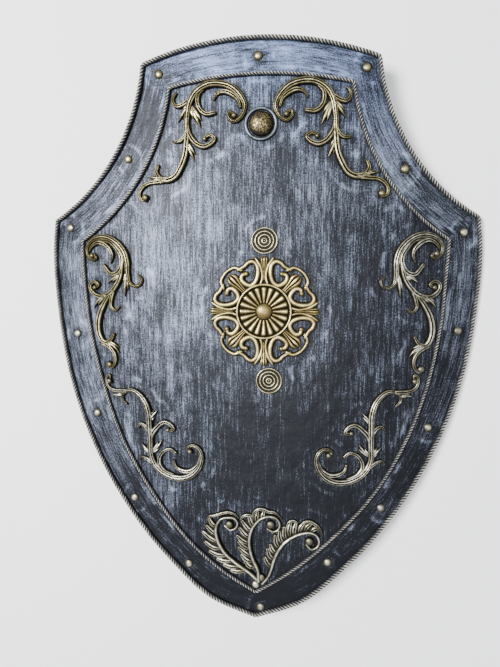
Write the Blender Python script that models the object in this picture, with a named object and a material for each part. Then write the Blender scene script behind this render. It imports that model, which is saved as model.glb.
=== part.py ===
"""Ornamental heater shield: rolled sheet steel, two twisted-wire rims, cast scrollwork, a rosette and rivets.

Every piece is drawn flat, on the unrolled sheet, and then bent round the sheet's axis.
Flat coordinates are millimetres: x across from the crown line, y towards the top edge, z out of the front.
"""

import math
from collections import namedtuple

import bmesh
import bpy
import numpy as np
from mathutils import Matrix, Vector

# Driving dimensions, in millimetres.
MM = 0.001
SHEET_RADIUS = 850.0
SHEET_THICK = 1.5
GAP = 0.3
FACET = 30.0
RIM_ROPE_THICK = 5.5
PANEL_ROPE_THICK = 4.3
ROPE_EDGE = 0.2

# Outlines: both top corners, bow of the top edge, hollow of the necks, then each side down to the point.
Outline = namedtuple("Outline", "corners rise hollow left right")
SIDE = ((254, 150), (258, 108), (254, 45), (241, -30), (218, -98), (185, -161), (143, -219), (104, -260),
        (57, -300), (0, -322))
SHEET_LINE = Outline(((-134.5, 319.5), (134.5, 319.5)), 21.5, 27.5, [(-x, y) for x, y in SIDE], SIDE)
# The inner rope frames the panel. It was laid by hand, so left and right differ a little.
PANEL_LEFT = ((-214, 123), (-212.5, 80), (-206, 22), (-190.5, -42), (-165.5, -110), (-128.5, -172), (-84, -228),
              (-40, -265), (0.5, -289.5))
PANEL_RIGHT = ((216, 122), (213.5, 80), (208.5, 22), (195.5, -42), (170.5, -110), (133.5, -172), (83, -227),
               (39, -264), (0.5, -289.5))
PANEL_LINE = Outline(((-100, 289.5), (103.5, 290)), 10.0, 24.0, PANEL_LEFT, PANEL_RIGHT)

# Rivets, set by hand, so left and right differ a little.
RIVETS = ((-113, 306), (0, 319), (118, 306), (-152, 215), (163, 199), (-233, 139), (235, 131), (-226, 11),
          (232, 19), (-200, -86), (199, -93), (-150, -187), (145, -187), (-81, -262), (84, -252), (0, -281.5),
          (6, -309))
RIVET_HEAD_R = 5.0
RIVET_HEAD_H = 2.8
RIVET_SHANK_R = 1.6
RIVET_HOLE_R = 2.0
RIVET_TAIL_R = 2.8
RIVET_TAIL_H = 0.8
RIVET_SIDES = 6

# Round pieces near the crown line.
ROSETTE_AT = (8, 41)
MEDAL_R = 31.6
MEDAL_RIM_WIDTH = 3.2
MEDAL_RIM_H = 7.0
MEDAL_DISH_H = 3.0
MEDAL_KNOB_R = 10.0
MEDAL_KNOB_H = 9.8
PETALS = 20
PETAL_GROOVE = 1.6
DISC_UPPER_AT = (8, 120)
DISC_LOWER_AT = (14, -38)
DISC_R = 15.2
DISC_RINGS = 3
DISC_CREST = 2.6
DISC_DIP = 1.5
BOSS_AT = (3.5, 247)
BOSS_DOME_R = 13.6
BOSS_WALL_H = 2.0
BOSS_DOME_H = 6.5
BOSS_RING_R = 18.6
BOSS_RING_GAP = 1.2
BOSS_RING_H = 3.0
ROUND_SIDES = 12
KNOB_SIDES = 6

# How finely a curve is cut into straight runs.
TURN = math.radians(54)
FINE_TURN = math.radians(28)
LONGEST_RUN = 60.0
OUTLINE_TURN = math.radians(13)

# How far a band reaches below the sheet's face before all bands are trimmed level. Each goes a step deeper than
# the last, so no two feet lie in one plane.
ROOT = 1.0
ROOT_STEP = 0.03

# A cast band: its centre line, its full widths along that line, and its height.
Band = namedtuple("Band", "line widths height")
Knob = namedtuple("Knob", "at radius height")
ScrollPlace = namedtuple("ScrollPlace", "bands knobs pivot left right left_turn right_turn")

# Scroll beside the neck. x counts outward from the crown line, as on all three scrolls.
TOP_BANDS = (
    Band(((81, 240), (80, 257), (77, 272), (70, 283), (58, 290), (46, 291), (31, 287), (20, 277), (15, 266),
          (19, 255), (27, 250), (33, 254), (33, 260), (28, 259)), (6, 7.5, 8, 8, 5, 4), 6.5),
    Band(((80, 252), (79, 243), (76, 235), (69, 227), (61, 224), (53, 227), (49, 232), (54, 236), (60, 234)),
         (5, 7, 6, 4), 6),
    Band(((60, 287), (67, 280), (68, 272), (65, 264), (58, 259), (49, 260)), (3, 6, 6, 5), 5.5),
    Band(((50, 274), (46, 280), (38, 282), (30, 279), (23, 273), (20, 265)), (2, 6, 6, 3), 5.5),
    Band(((71, 282), (79, 274), (86, 270), (92, 269), (96, 273), (96, 279), (93, 283)), (4, 6, 5, 3), 5.5),
    Band(((76, 271), (84, 262), (91, 252)), (7, 6, 0.8), 4),
    Band(((75, 267), (70, 256), (65, 245)), (5, 8, 0.8), 4),
    Band(((80, 244), (84, 235), (89, 231), (96, 231)), (5, 5, 3.5), 5),
    Band(((80, 246), (81, 227), (83, 214), (88, 202), (94, 193), (103, 189), (112, 191), (117, 198),
          (115, 205)), (6, 8, 8, 8, 4), 6),
    Band(((82, 231), (77, 220), (72, 209)), (7, 7, 0.8), 4),
    Band(((106, 188), (118, 187), (127, 186), (134, 182), (138, 176), (137, 169), (131, 167)), (6, 5, 4), 5),
    Band(((109, 190), (120, 192), (129, 193)), (5, 5, 0.8), 4),
)
TOP_KNOBS = (Knob((27, 256), 3.2, 6.5), Knob((60, 232), 2.6, 6), Knob((131, 170), 4, 6))

# Scroll beside the side rope, below the wing.
SIDE_BANDS = (
    Band(((143, 79), (139, 75), (141, 69), (148, 67), (154, 71), (156, 82), (156, 97), (160, 110), (169, 120),
          (180, 126), (192, 127), (203, 123), (209, 115), (208, 106), (203, 101), (197, 103),
          (200, 107)), (3, 5, 8, 8, 7, 4, 4), 6.5),
    Band(((192, 123), (178, 121), (169, 113), (163, 102), (164, 91), (170, 84), (178, 83), (187, 93)),
         (4, 6, 7, 5), 5.5),
    Band(((206, 112), (202, 117), (193, 121), (184, 118), (177, 111), (175, 104), (178, 96)),
         (3, 6, 6, 2), 5.5),
    Band(((162, 95), (166, 79), (172, 69), (180, 61), (191, 57), (200, 59), (207, 66), (207, 72), (201, 75),
          (196, 71), (200, 68)), (5, 7, 6, 4), 6),
    Band(((157, 84), (160, 70), (162, 56)), (7, 7, 0.8), 4),
    Band(((166, 80), (176, 77), (184, 72)), (4, 5, 0.8), 4),
    Band(((175, 66), (180, 53), (181, 45), (176, 40), (171, 43)), (6, 5, 3), 5),
    Band(((187, 58), (198, 52), (205, 44)), (6, 5, 0.8), 4),
    Band(((181, 60), (190, 48), (197, 35), (200, 21), (198, 9), (192, 2), (184, 5), (180, 11)),
         (5, 7.5, 8.5, 7.5, 4), 6),
    Band(((190, 3), (180, -3), (174, -11)), (6, 5, 0.8), 4),
    Band(((195, 1), (186, -4), (180, -13), (180, -22), (185, -28), (191, -26)), (6, 5, 4), 5),
)
SIDE_KNOBS = (Knob((202, 106), 3.2, 6.5), Knob((201, 68), 2.8, 6), Knob((188, -25), 4, 6))

# Scroll in the lower part of the panel.
LOW_BANDS = (
    Band(((180, -43), (180.5, -38), (184.8, -40.5), (184.6, -47), (181, -53), (174, -56), (159, -56)),
         (3, 4, 5, 6), 5),
    Band(((158, -72), (163, -67), (163, -61), (158, -56), (149, -55), (140, -60), (133, -69), (129, -81),
          (128, -96), (127, -114), (126, -133), (119, -146), (109, -153), (94, -157), (79, -154), (68, -144),
          (64, -131), (67, -121), (75, -117), (82, -121), (79, -124)),
         (3, 6, 8, 8, 7, 8, 8, 6, 4), 6.5),
    Band(((163, -61), (172, -61), (179, -63)), (4, 4, 0.8), 4),
    Band(((128, -92), (124, -84), (118, -77)), (6, 6, 0.8), 4),
    Band(((127, -122), (125, -107), (119, -98), (110, -91), (102, -93), (98, -99), (103, -101)),
         (5, 7, 6, 4), 6),
    Band(((128, -115), (130, -102), (135, -96), (141, -95), (143, -100)), (5, 6, 3), 5),
    Band(((126, -131), (134, -123), (140, -118)), (6, 5, 0.8), 4),
    Band(((125, -128), (118, -121), (113, -113)), (6, 6, 0.8), 4),
    Band(((115, -148), (125, -141), (133, -136), (139, -135), (143, -139)), (5, 5, 2), 5),
    Band(((96, -127), (102, -123), (109, -125), (115, -132), (116, -141), (110, -149), (98, -154)),
         (4, 5, 6, 4), 5.5),
    Band(((98, -137), (95, -144), (86, -148), (77, -147), (69, -140), (66, -130)), (3, 6, 6, 3), 5.5),
)
LOW_KNOBS = (Knob((180.5, -45), 3.4, 6), Knob((78, -124), 3.2, 6.5), Knob((105, -100), 2.8, 6))

# Where each scroll lies: the middle it turns about, then how far each side's casting is moved and turned.
SCROLLS = {
    "scroll_top": ScrollPlace(TOP_BANDS, TOP_KNOBS, (85, 237), (-1, 0), (4.6, 1), 0.0, 0.9),
    "scroll_side": ScrollPlace(SIDE_BANDS, SIDE_KNOBS, (183, 57), (-3.7, 0), (-1, 0.5), -3.0, 0.0),
    "scroll_low": ScrollPlace(LOW_BANDS, LOW_KNOBS, (117, -110), (0, 0), (3.6, 2.9), 0.0, 3.3),
}

# Palmette in the point: three curled stems, each with a fan of leaflets on its outer side.
PALMETTE_STEMS = (
    Band(((1, -273), (-7, -266), (-26, -253), (-37, -243), (-44, -231), (-47, -219), (-46, -211), (-41, -203),
          (-32, -200.5), (-25, -201.5), (-21.5, -207), (-24, -213), (-30, -215.5), (-36, -211)),
         (6, 5.5, 5.5, 4.5, 4), 6),
    Band(((3.5, -275), (2.5, -262), (-3, -250), (-6.5, -238), (-7.5, -226), (-5, -214), (0, -206), (7, -199.5),
          (16, -197), (24, -199.5), (27.5, -206), (26, -212), (20, -215), (14, -212)),
         (6, 5.5, 5.5, 4.5, 4), 6),
    Band(((8, -278.5), (14, -271), (18, -261), (21, -250), (26, -238), (33, -228), (42, -221), (52, -216.5),
          (62, -215), (69.5, -218), (73, -225), (71, -232), (64.5, -235), (59, -230)),
         (4, 5.5, 5.5, 4.5, 4), 6),
)
PALMETTE_KNOBS = (Knob((-31, -208.5), 4.6, 6.5), Knob((17, -206.5), 5, 6.5), Knob((62, -225.5), 4.8, 6.5),
                  Knob((6, -272), 5, 4.5))
# Each leaflet is its root on the stem, then its tip. They are listed from the foot up, leaf by leaf.
LEAFLETS = (
    ((-16, -262), (-27, -266)), ((-21, -259), (-34, -263)), ((-27, -255), (-39, -258)),
    ((-32, -251), (-44, -254.5)), ((-36, -247), (-48.5, -249.5)), ((-40, -242), (-53, -245)),
    ((-42, -237), (-57, -238)),
    ((-45, -232), (-61, -233)), ((-47, -226), (-64.5, -223)), ((-48, -220), (-61, -216.5)),
    ((-48, -214), (-57, -207)), ((-46, -208), (-53, -202)), ((-42, -204), (-43, -200)),
    ((-37, -201), (-36, -197)), ((-28, -200), (-27, -197)),
    ((0, -262), (-6, -262)), ((-2, -256), (-10, -256)), ((-4, -251), (-14, -251)), ((-5, -245), (-18, -246)),
    ((-7, -239), (-21, -237.5)), ((-8, -234), (-20, -231)), ((-8, -228), (-23, -223.5)),
    ((-8, -222), (-19, -214)),
    ((-7, -217), (-17, -204)), ((-6, -212), (-12, -200)), ((-4, -209), (-7, -198)), ((-1, -206), (-3, -198)),
    ((3, -202), (0, -193)), ((9, -199), (7, -191)), ((16, -197), (16, -193)), ((23, -199), (25, -196)),
    ((18, -258), (12, -258)), ((20, -252), (11, -252)), ((21, -247), (12, -246)), ((22, -242), (13, -239)),
    ((25, -237), (15, -233)), ((28, -232), (20, -228.5)), ((31, -228), (23, -221)), ((35, -224), (28, -214)),
    ((39, -221), (35, -209)), ((43, -219), (40, -204)), ((47, -217), (46, -204)), ((52, -215), (53, -206)),
    ((58, -214), (59, -205)), ((64, -214), (66, -206)), ((69, -217), (73, -212)),
)
# The solid carries every second leaflet, wide enough to meet its neighbours.
LEAFLET_STEP = 2
LEAFLET_WIDTHS = (6.6, 3.2)
LEAFLET_HEIGHT = 3.6
LEAFLET_ROOT = 4.0
# Curled rims over the three leaves.
PALMETTE_CRESTS = (
    Band(((-57, -207), (-55, -201), (-49, -199.5), (-42, -197), (-34, -194.5), (-26, -196), (-20.5, -201)),
         (3, 4.5, 4.5, 2), 4.6),
    Band(((-18, -203), (-15, -198.5), (-8, -196.5), (-2, -199)), (3, 4.5, 3), 4.2),
    Band(((-4, -203), (-2.5, -194), (3, -189), (9, -189), (15, -191.5), (22, -192.5), (30, -200)),
         (3, 4.5, 4.5, 2), 4.6),
    Band(((36, -211), (38, -204), (43, -201.5), (48, -204)), (3, 4, 3), 4.2),
    Band(((51, -208), (56, -203), (62, -202), (68, -205), (74, -211), (77.5, -219)), (3, 4.5, 4.5, 2), 4.6),
)

# The rosette's pierced rim. On an eighth of it, y runs out along a stem and x towards the diagonal.
SCROLL_C = Band(((29, 46.5), (22, 50.5), (18, 54.5), (13, 55.8), (8.7, 52.5), (7, 46), (7.6, 39), (10.3, 32.5),
                 (15.5, 29), (22, 31.5), (25.5, 36), (24.5, 40.5), (20, 42)), (3.6, 4.5, 5, 5, 5.5, 4.5), 5.5)
STEM_SIDE = Band(((4.5, 29.5), (2.4, 36), (2.2, 42), (4.6, 51), (9.5, 59)), (3.4, 3, 3, 4, 3), 5.0)
STEM_TONGUE = Band(((0, 40), (0, 60.5)), (4, 8), 4.2)
# On a diagonal, y runs out along it.
DIAGONAL_LEAF = Band(((0, 29.5), (0, 46), (0, 57)), (5, 12, 6), 5)
OUTER_ARC = Band(((-14, 51.5), (-11, 58), (-3.5, 61), (3.5, 61), (11, 58), (14, 51.5)), (4, 3.2, 3.2, 4), 4.2)

STEEL = ("blackened_steel", (0.16, 0.18, 0.2, 1.0), 0.45, 0.9)
WIRE = ("blackened_wire", (0.3, 0.28, 0.22, 1.0), 0.4, 0.9)
BRASS = ("old_brass", (0.55, 0.47, 0.3, 1.0), 0.4, 0.9)


def clear_scene():
    for item in list(bpy.data.objects):
        bpy.data.objects.remove(item, do_unlink=True)


def metal(name, colour, roughness, metallic):
    material = bpy.data.materials.get(name) or bpy.data.materials.new(name)
    material.use_nodes = True
    shader = material.node_tree.nodes["Principled BSDF"]
    shader.inputs["Base Color"].default_value = colour
    shader.inputs["Roughness"].default_value = roughness
    shader.inputs["Metallic"].default_value = metallic
    return material


def add_object(name, shape, finish, parent=None):
    """Makes an object from a closed bmesh in metres, and frees the bmesh."""
    bmesh.ops.recalc_face_normals(shape, faces=shape.faces)
    mesh = bpy.data.meshes.new(name)
    shape.to_mesh(mesh)
    shape.free()
    mesh.materials.append(metal(*finish))
    mesh.shade_smooth()
    mesh.set_sharp_from_angle(angle=math.radians(35))
    made = bpy.data.objects.new(name, mesh)
    bpy.context.scene.collection.objects.link(made)
    made.parent = parent
    return made


# Curves on the flat sheet.

def smooth_curve(points, steps=10):
    """A centripetal Catmull-Rom curve through the points, as an array of closely spaced places."""
    points = np.array(points, float)
    before = 2 * points[0] - points[1]
    after = 2 * points[-1] - points[-2]
    controls = np.vstack([before, points, after])
    knots = np.concatenate([[0.0], np.cumsum(np.linalg.norm(np.diff(controls, axis=0), axis=1) ** 0.5)])
    pieces = []
    for first in range(len(controls) - 3):
        p0, p1, p2, p3 = controls[first:first + 4]
        t0, t1, t2, t3 = knots[first:first + 4]
        t = np.linspace(t1, t2, steps, endpoint=False)[:, None]
        a1 = (t1 - t) / (t1 - t0) * p0 + (t - t0) / (t1 - t0) * p1
        a2 = (t2 - t) / (t2 - t1) * p1 + (t - t1) / (t2 - t1) * p2
        a3 = (t3 - t) / (t3 - t2) * p2 + (t - t2) / (t3 - t2) * p3
        b1 = (t2 - t) / (t2 - t0) * a1 + (t - t0) / (t2 - t0) * a2
        b2 = (t3 - t) / (t3 - t1) * a2 + (t - t1) / (t3 - t1) * a3
        pieces.append((t2 - t) / (t2 - t1) * b1 + (t - t1) / (t2 - t1) * b2)
    return np.vstack(pieces + [points[-1:]])


def arc_between(start, end, rise, steps=40):
    """An arc from start to end that bows by rise to the left of the way it goes."""
    start = np.array(start, float)
    end = np.array(end, float)
    half = np.linalg.norm(end - start) / 2
    along = (end - start) / (2 * half)
    left = np.array([-along[1], along[0]])
    radius = (half ** 2 + rise ** 2) / (2 * abs(rise))
    reach = math.asin(half / radius)
    swing = np.linspace(-reach, reach, steps)[:, None]
    middle = (start + end) / 2 - left * math.copysign(radius - abs(rise), rise)
    return middle + radius * (np.sin(swing) * along + np.cos(swing) * left * math.copysign(1.0, rise))


def few_points(curve, turn=TURN, longest=LONGEST_RUN):
    """The places of a fine curve that straight runs need: one for each turn or longest run, and both ends."""
    kept = [0]
    turned = 0.0
    for here in range(1, len(curve) - 1):
        into = curve[here] - curve[here - 1]
        out = curve[here + 1] - curve[here]
        turned += abs(math.atan2(into[0] * out[1] - into[1] * out[0], into @ out))
        run = np.linalg.norm(curve[here] - curve[kept[-1]])
        if turned >= turn or run >= longest:
            kept.append(here)
            turned = 0.0
    kept.append(len(curve) - 1)
    return curve[kept]


def full_outline(line, turn):
    """A closed shield outline, clockwise from the middle of the top edge."""
    left_corner, right_corner = line.corners
    top = arc_between(left_corner, right_corner, line.rise, 61)
    left_top, right_top = few_points(top[30::-1], turn), few_points(top[30:], turn)
    right_neck = few_points(arc_between(right_corner, line.right[0], -line.hollow), turn)
    left_neck = few_points(arc_between(left_corner, line.left[0], line.hollow), turn)
    right_side = few_points(smooth_curve(line.right), turn)
    left_side = few_points(smooth_curve(line.left), turn)
    right = (right_top, right_neck, right_side)
    left = (left_side[::-1], left_neck[::-1], left_top[::-1])
    return np.vstack([run[:-1] for run in (*right, *left)])


def inset(outline, distance):
    """The closed clockwise outline moved inward, with mitred corners."""
    before = outline - np.roll(outline, 1, axis=0)
    after = np.roll(outline, -1, axis=0) - outline
    before /= np.linalg.norm(before, axis=1)[:, None]
    after /= np.linalg.norm(after, axis=1)[:, None]
    right_before = np.stack([before[:, 1], -before[:, 0]], axis=1)
    right_after = np.stack([after[:, 1], -after[:, 0]], axis=1)
    mitre = right_before + right_after
    length = 2 / (mitre ** 2).sum(axis=1)[:, None]
    return outline + distance * mitre * length


# Solids on the flat sheet, in millimetres.

def add_rings(shape, rings, closed=False):
    """Joins rings of points into one closed skin. A closed run joins its last ring to its first."""
    made = [[shape.verts.new(point) for point in ring] for ring in rings]
    count = len(made[0])
    pairs = list(zip(made, made[1:]))
    if closed:
        pairs.append((made[-1], made[0]))
    for one, two in pairs:
        for side in range(count):
            after = (side + 1) % count
            shape.faces.new((one[side], one[after], two[after], two[side]))
    if not closed:
        shape.faces.new(made[0])
        shape.faces.new(made[-1][::-1])


def add_band(shape, band, root=ROOT, turn=TURN):
    """A cast band along a smooth line, ridged like a roof, its foot below the sheet's face."""
    line = few_points(smooth_curve(band.line), turn)
    way = np.gradient(line, axis=0)
    way /= np.linalg.norm(way, axis=1)[:, None]
    left = np.stack([-way[:, 1], way[:, 0]], axis=1)
    along = np.concatenate([[0.0], np.cumsum(np.linalg.norm(np.diff(line, axis=0), axis=1))])
    places = np.linspace(0, along[-1], len(band.widths))
    half = np.interp(along, places, band.widths) / 2
    widest = max(band.widths) / 2
    rings = []
    for point, side, width in zip(line, left, half):
        height = band.height * (0.45 + 0.55 * width / widest)
        rings.append(((*(point + side * width), -root), (*point, height), (*(point - side * width), -root)))
    add_rings(shape, rings)


def add_lathe(shape, at, profile, sides):
    """A turned solid: the profile is (radius, height) pairs from the bottom up, and both ends are closed."""
    rings = []
    for radius, height in profile:
        angles = [2 * math.pi * side / sides for side in range(sides)]
        rings.append([(at[0] + radius * math.cos(a), at[1] + radius * math.sin(a), height) for a in angles])
    add_rings(shape, rings)


def add_knob(shape, knob):
    low = knob.height * 0.62
    profile = ((knob.radius, -ROOT - 0.5), (knob.radius, low), (knob.radius * 0.5, knob.height))
    add_lathe(shape, knob.at, profile, KNOB_SIDES)


def slab(shape, low, high):
    """A plain block between two corners."""
    size = Vector(high) - Vector(low)
    place = Matrix.Translation((Vector(low) + Vector(high)) / 2) @ Matrix.Diagonal((*size, 1.0))
    bmesh.ops.create_cube(shape, size=1.0, matrix=place)


def cut_with(shape, cutter, overlapping=True):
    """The shape less the cutter, with the shape's own overlapping bodies joined into one."""
    meshes = []
    for name, source in (("body", shape), ("cutter", cutter)):
        bmesh.ops.recalc_face_normals(source, faces=source.faces)
        mesh = bpy.data.meshes.new(name)
        source.to_mesh(mesh)
        source.free()
        meshes.append(mesh)
    body, tool = (bpy.data.objects.new(mesh.name, mesh) for mesh in meshes)
    for item in (body, tool):
        bpy.context.scene.collection.objects.link(item)
    cut = body.modifiers.new("cut", "BOOLEAN")
    cut.operation = "DIFFERENCE"
    cut.object = tool
    cut.use_self = overlapping
    result = bmesh.new()
    result.from_object(body, bpy.context.evaluated_depsgraph_get())
    for item in (body, tool):
        bpy.data.objects.remove(item, do_unlink=True)
    for mesh in meshes:
        bpy.data.meshes.remove(mesh)
    return result


def trim_level(shape):
    """Joins a casting's bands and trims their feet to lie just above the sheet."""
    below = bmesh.new()
    slab(below, (-400, -400, -20), (400, 400, GAP))
    trimmed = cut_with(shape, below)
    bmesh.ops.dissolve_limit(trimmed, angle_limit=math.radians(4), verts=trimmed.verts, edges=trimmed.edges)
    bmesh.ops.triangulate(trimmed, faces=trimmed.faces)
    return trimmed


def is_wide(face):
    """Whether a face reaches further across the sheet than one facet."""
    xs = [vert.co.x for vert in face.verts]
    return max(xs) - min(xs) > FACET + 0.01


def cut_lines(shape, lines, way, keep):
    """Cuts the faces that keep picks along lines square to the way, without parting the solid."""
    for line in lines:
        parts = []
        for face in filter(keep, shape.faces):
            parts += [face, *face.edges, *face.verts]
        geometry = list(dict.fromkeys(parts))
        bmesh.ops.bisect_plane(shape, geom=geometry, dist=0.005, plane_co=Vector(way) * line, plane_no=way)


def crease_lines(low, high):
    """The facet lines that lie between two places across the sheet."""
    numbers = range(math.ceil(low / FACET - 0.5), math.floor(high / FACET - 0.5) + 1)
    return [(number + 0.5) * FACET for number in numbers]


def rolled(across, up, out):
    """A flat place on the rolled sheet, in metres. Between two facet lines the sheet is a true plane."""
    line = math.floor(across / FACET - 0.5)
    share = across / FACET - 0.5 - line
    radius = SHEET_RADIUS + out
    angles = [(line + side + 0.5) * FACET / SHEET_RADIUS for side in (0, 1)]
    left, right = (Vector((radius * math.sin(a), up, radius * math.cos(a) - SHEET_RADIUS)) for a in angles)
    return left.lerp(right, share) * MM


def bend(shape):
    """Creases the wide faces of a flat solid at the sheet's facet lines, rolls it, and turns it to metres."""
    xs = [vert.co.x for vert in shape.verts]
    cut_lines(shape, crease_lines(min(xs), max(xs)), (1, 0, 0), is_wide)
    for vert in shape.verts:
        vert.co = rolled(*vert.co)
    return shape


# The pieces.

def make_plate(parent):
    outline = full_outline(SHEET_LINE, OUTLINE_TURN)
    plate = bmesh.new()
    add_rings(plate, [[(*point, height) for point in outline] for height in (-SHEET_THICK, 0.0)])
    holes = bmesh.new()
    for at in RIVETS:
        add_lathe(holes, at, ((RIVET_HOLE_R, -SHEET_THICK - 1), (RIVET_HOLE_R, 1)), RIVET_SIDES)
    plate = cut_with(plate, holes, overlapping=False)
    return add_object("shield_plate", bend(plate), STEEL, parent)


def make_rope(name, centre_line, thick, parent):
    """A closed wire rope as a plain five-sided bar, flat side down."""
    section = [math.radians(72 * side + 36) for side in range(5)]
    radius = thick / (1 + math.cos(math.radians(36)))
    mitres = inset(centre_line, 1.0) - centre_line
    rings = []
    for point, inward in zip(centre_line, mitres):
        ring = []
        for angle in section:
            across = point + inward * radius * math.sin(angle)
            ring.append((*across, GAP + thick - radius - radius * math.cos(angle)))
        rings.append(ring)
    rope = bmesh.new()
    add_rings(rope, rings, closed=True)
    return add_object(name, bend(rope), WIRE, parent)


def placed(point, pivot, move, turn, mirror):
    """A scroll's own point, turned about its pivot in degrees, moved, and mirrored to the left side."""
    angle = math.radians(turn)
    x = point[0] - pivot[0]
    y = point[1] - pivot[1]
    across = pivot[0] + move[0] + x * math.cos(angle) - y * math.sin(angle)
    up = pivot[1] + move[1] + x * math.sin(angle) + y * math.cos(angle)
    return (-across if mirror else across, up)


def make_scroll(name, place, mirror, parent):
    move = place.left if mirror else place.right
    turn = place.left_turn if mirror else place.right_turn
    casting = bmesh.new()
    for count, band in enumerate(place.bands):
        line = [placed(point, place.pivot, move, turn, mirror) for point in band.line]
        add_band(casting, band._replace(line=line), ROOT + ROOT_STEP * count)
    for knob in place.knobs:
        add_knob(casting, knob._replace(at=placed(knob.at, place.pivot, move, turn, mirror)))
    return add_object(name, bend(trim_level(casting)), BRASS, parent)


def make_palmette(parent):
    casting = bmesh.new()
    leaflets = []
    for root, tip in LEAFLETS[::LEAFLET_STEP]:
        way = (Vector(tip) - Vector(root)).normalized()
        line = (Vector(root) - way * LEAFLET_ROOT, Vector(tip))
        leaflets.append(Band(line, LEAFLET_WIDTHS, LEAFLET_HEIGHT))
    for count, band in enumerate((*PALMETTE_STEMS, *PALMETTE_CRESTS, *leaflets)):
        add_band(casting, band, ROOT + ROOT_STEP * count)
    for knob in PALMETTE_KNOBS:
        add_knob(casting, knob)
    return add_object("leaf_palmette", bend(trim_level(casting)), BRASS, parent)


def spun(point, quarter_turns, mirror, at):
    """A point of one eighth of the rosette, mirrored, turned by quarter turns, and moved to the rosette."""
    x = -point[0] if mirror else point[0]
    angle = math.radians(90) * quarter_turns
    across = x * math.cos(angle) - point[1] * math.sin(angle)
    up = x * math.sin(angle) + point[1] * math.cos(angle)
    return (at[0] + across, at[1] + up)


def add_medallion(shape, at):
    """A turned ring round a dish of petals, and a knob in the middle."""
    rim_inner = MEDAL_R - MEDAL_RIM_WIDTH
    dish_edge_h = MEDAL_RIM_H * 0.8
    profile = ((MEDAL_R, -ROOT - 1, 0), (MEDAL_R, MEDAL_RIM_H * 0.7, 0), (MEDAL_R - 1.6, MEDAL_RIM_H, 0),
               (rim_inner, dish_edge_h, PETAL_GROOVE), (MEDAL_KNOB_R - 1.5, MEDAL_DISH_H, 0))
    rings = []
    for radius, height, groove in profile:
        ring = []
        for side in range(2 * PETALS):
            angle = math.pi * side / PETALS
            low = groove if side % 2 else 0.0
            ring.append((at[0] + radius * math.cos(angle), at[1] + radius * math.sin(angle), height - low))
        rings.append(ring)
    add_rings(shape, rings)
    knob = ((MEDAL_KNOB_R, 1.0), (MEDAL_KNOB_R, MEDAL_KNOB_H * 0.6),
            (MEDAL_KNOB_R * 0.75, MEDAL_KNOB_H * 0.88), (MEDAL_KNOB_R * 0.3, MEDAL_KNOB_H))
    add_lathe(shape, at, knob, ROUND_SIDES)


def make_rosette(parent):
    casting = bmesh.new()
    count = 0
    for quarter in range(4):
        for band, spin, mirror, turn in (
                (SCROLL_C, 0, False, TURN), (SCROLL_C, 0, True, TURN), (STEM_SIDE, 0, False, FINE_TURN),
                (STEM_SIDE, 0, True, FINE_TURN), (STEM_TONGUE, 0, False, TURN),
                (DIAGONAL_LEAF, 0.5, False, TURN), (OUTER_ARC, 0.5, False, TURN)):
            line = [spun(point, quarter + spin, mirror, ROSETTE_AT) for point in band.line]
            add_band(casting, band._replace(line=line), ROOT + ROOT_STEP * count, turn)
            count += 1
    add_medallion(casting, ROSETTE_AT)
    return add_object("rosette", bend(trim_level(casting)), BRASS, parent)


def make_disc(name, at, parent):
    """A small disc of raised rings round a point."""
    ring = DISC_R / (DISC_RINGS + 1)
    profile = [(DISC_R, GAP)]
    for count in range(DISC_RINGS):
        outer = DISC_R - ring * count
        profile += [(outer - 0.3 * ring, DISC_CREST), (outer - 0.9 * ring, DISC_DIP)]
    profile.append((0.15 * ring, DISC_CREST))
    disc = bmesh.new()
    add_lathe(disc, at, profile, ROUND_SIDES)
    return add_object(name, bend(disc), BRASS, parent)


def make_boss(parent):
    """A domed boss in a loose ring. Both sit on the sheet."""
    inner = BOSS_DOME_R + BOSS_RING_GAP
    profile = ((inner, GAP), (BOSS_RING_R, GAP), (BOSS_RING_R, BOSS_RING_H * 0.5),
               (BOSS_RING_R - 1.5, BOSS_RING_H), (inner + 0.8, BOSS_RING_H), (inner, BOSS_RING_H * 0.7))
    rings = []
    for side in range(ROUND_SIDES):
        angle = 2 * math.pi * side / ROUND_SIDES
        way = (math.cos(angle), math.sin(angle))
        rings.append([(BOSS_AT[0] + r * way[0], BOSS_AT[1] + r * way[1], h) for r, h in profile])
    ring = bmesh.new()
    add_rings(ring, rings, closed=True)
    steps = [math.radians(a) for a in (0, 30, 58, 82)]
    curve = [(BOSS_DOME_R * math.cos(a), BOSS_WALL_H + BOSS_DOME_H * math.sin(a)) for a in steps]
    dome = bmesh.new()
    add_lathe(dome, BOSS_AT, [(BOSS_DOME_R, GAP)] + curve, ROUND_SIDES)
    add_object("boss_ring", bend(ring), STEEL, parent)
    add_object("boss_top", bend(dome), BRASS, parent)


def make_rivets(parent):
    """Domed rivets through the sheet, with their tails closed over at the back."""
    back = -SHEET_THICK - GAP
    profile = ((RIVET_TAIL_R, back - RIVET_TAIL_H), (RIVET_SHANK_R, back), (RIVET_SHANK_R, GAP),
               (RIVET_HEAD_R, GAP), (RIVET_HEAD_R * 0.5, GAP + RIVET_HEAD_H))
    for count, (across, up) in enumerate(RIVETS, 1):
        rivet = bmesh.new()
        add_lathe(rivet, (0, 0), profile, RIVET_SIDES)
        bmesh.ops.scale(rivet, vec=(MM, MM, MM), verts=rivet.verts)
        made = add_object(f"rivet_{count:02d}", rivet, BRASS, parent)
        made.location = rolled(across, up, 0.0)
        made.rotation_euler = (0, round(across / FACET) * FACET / SHEET_RADIUS, 0)


# How it lies.

def world_triangles(item):
    mesh = item.data
    mesh.calc_loop_triangles()
    points = np.array([item.matrix_world @ vert.co for vert in mesh.vertices])
    return points[np.array([triangle.vertices for triangle in mesh.loop_triangles])]


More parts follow.
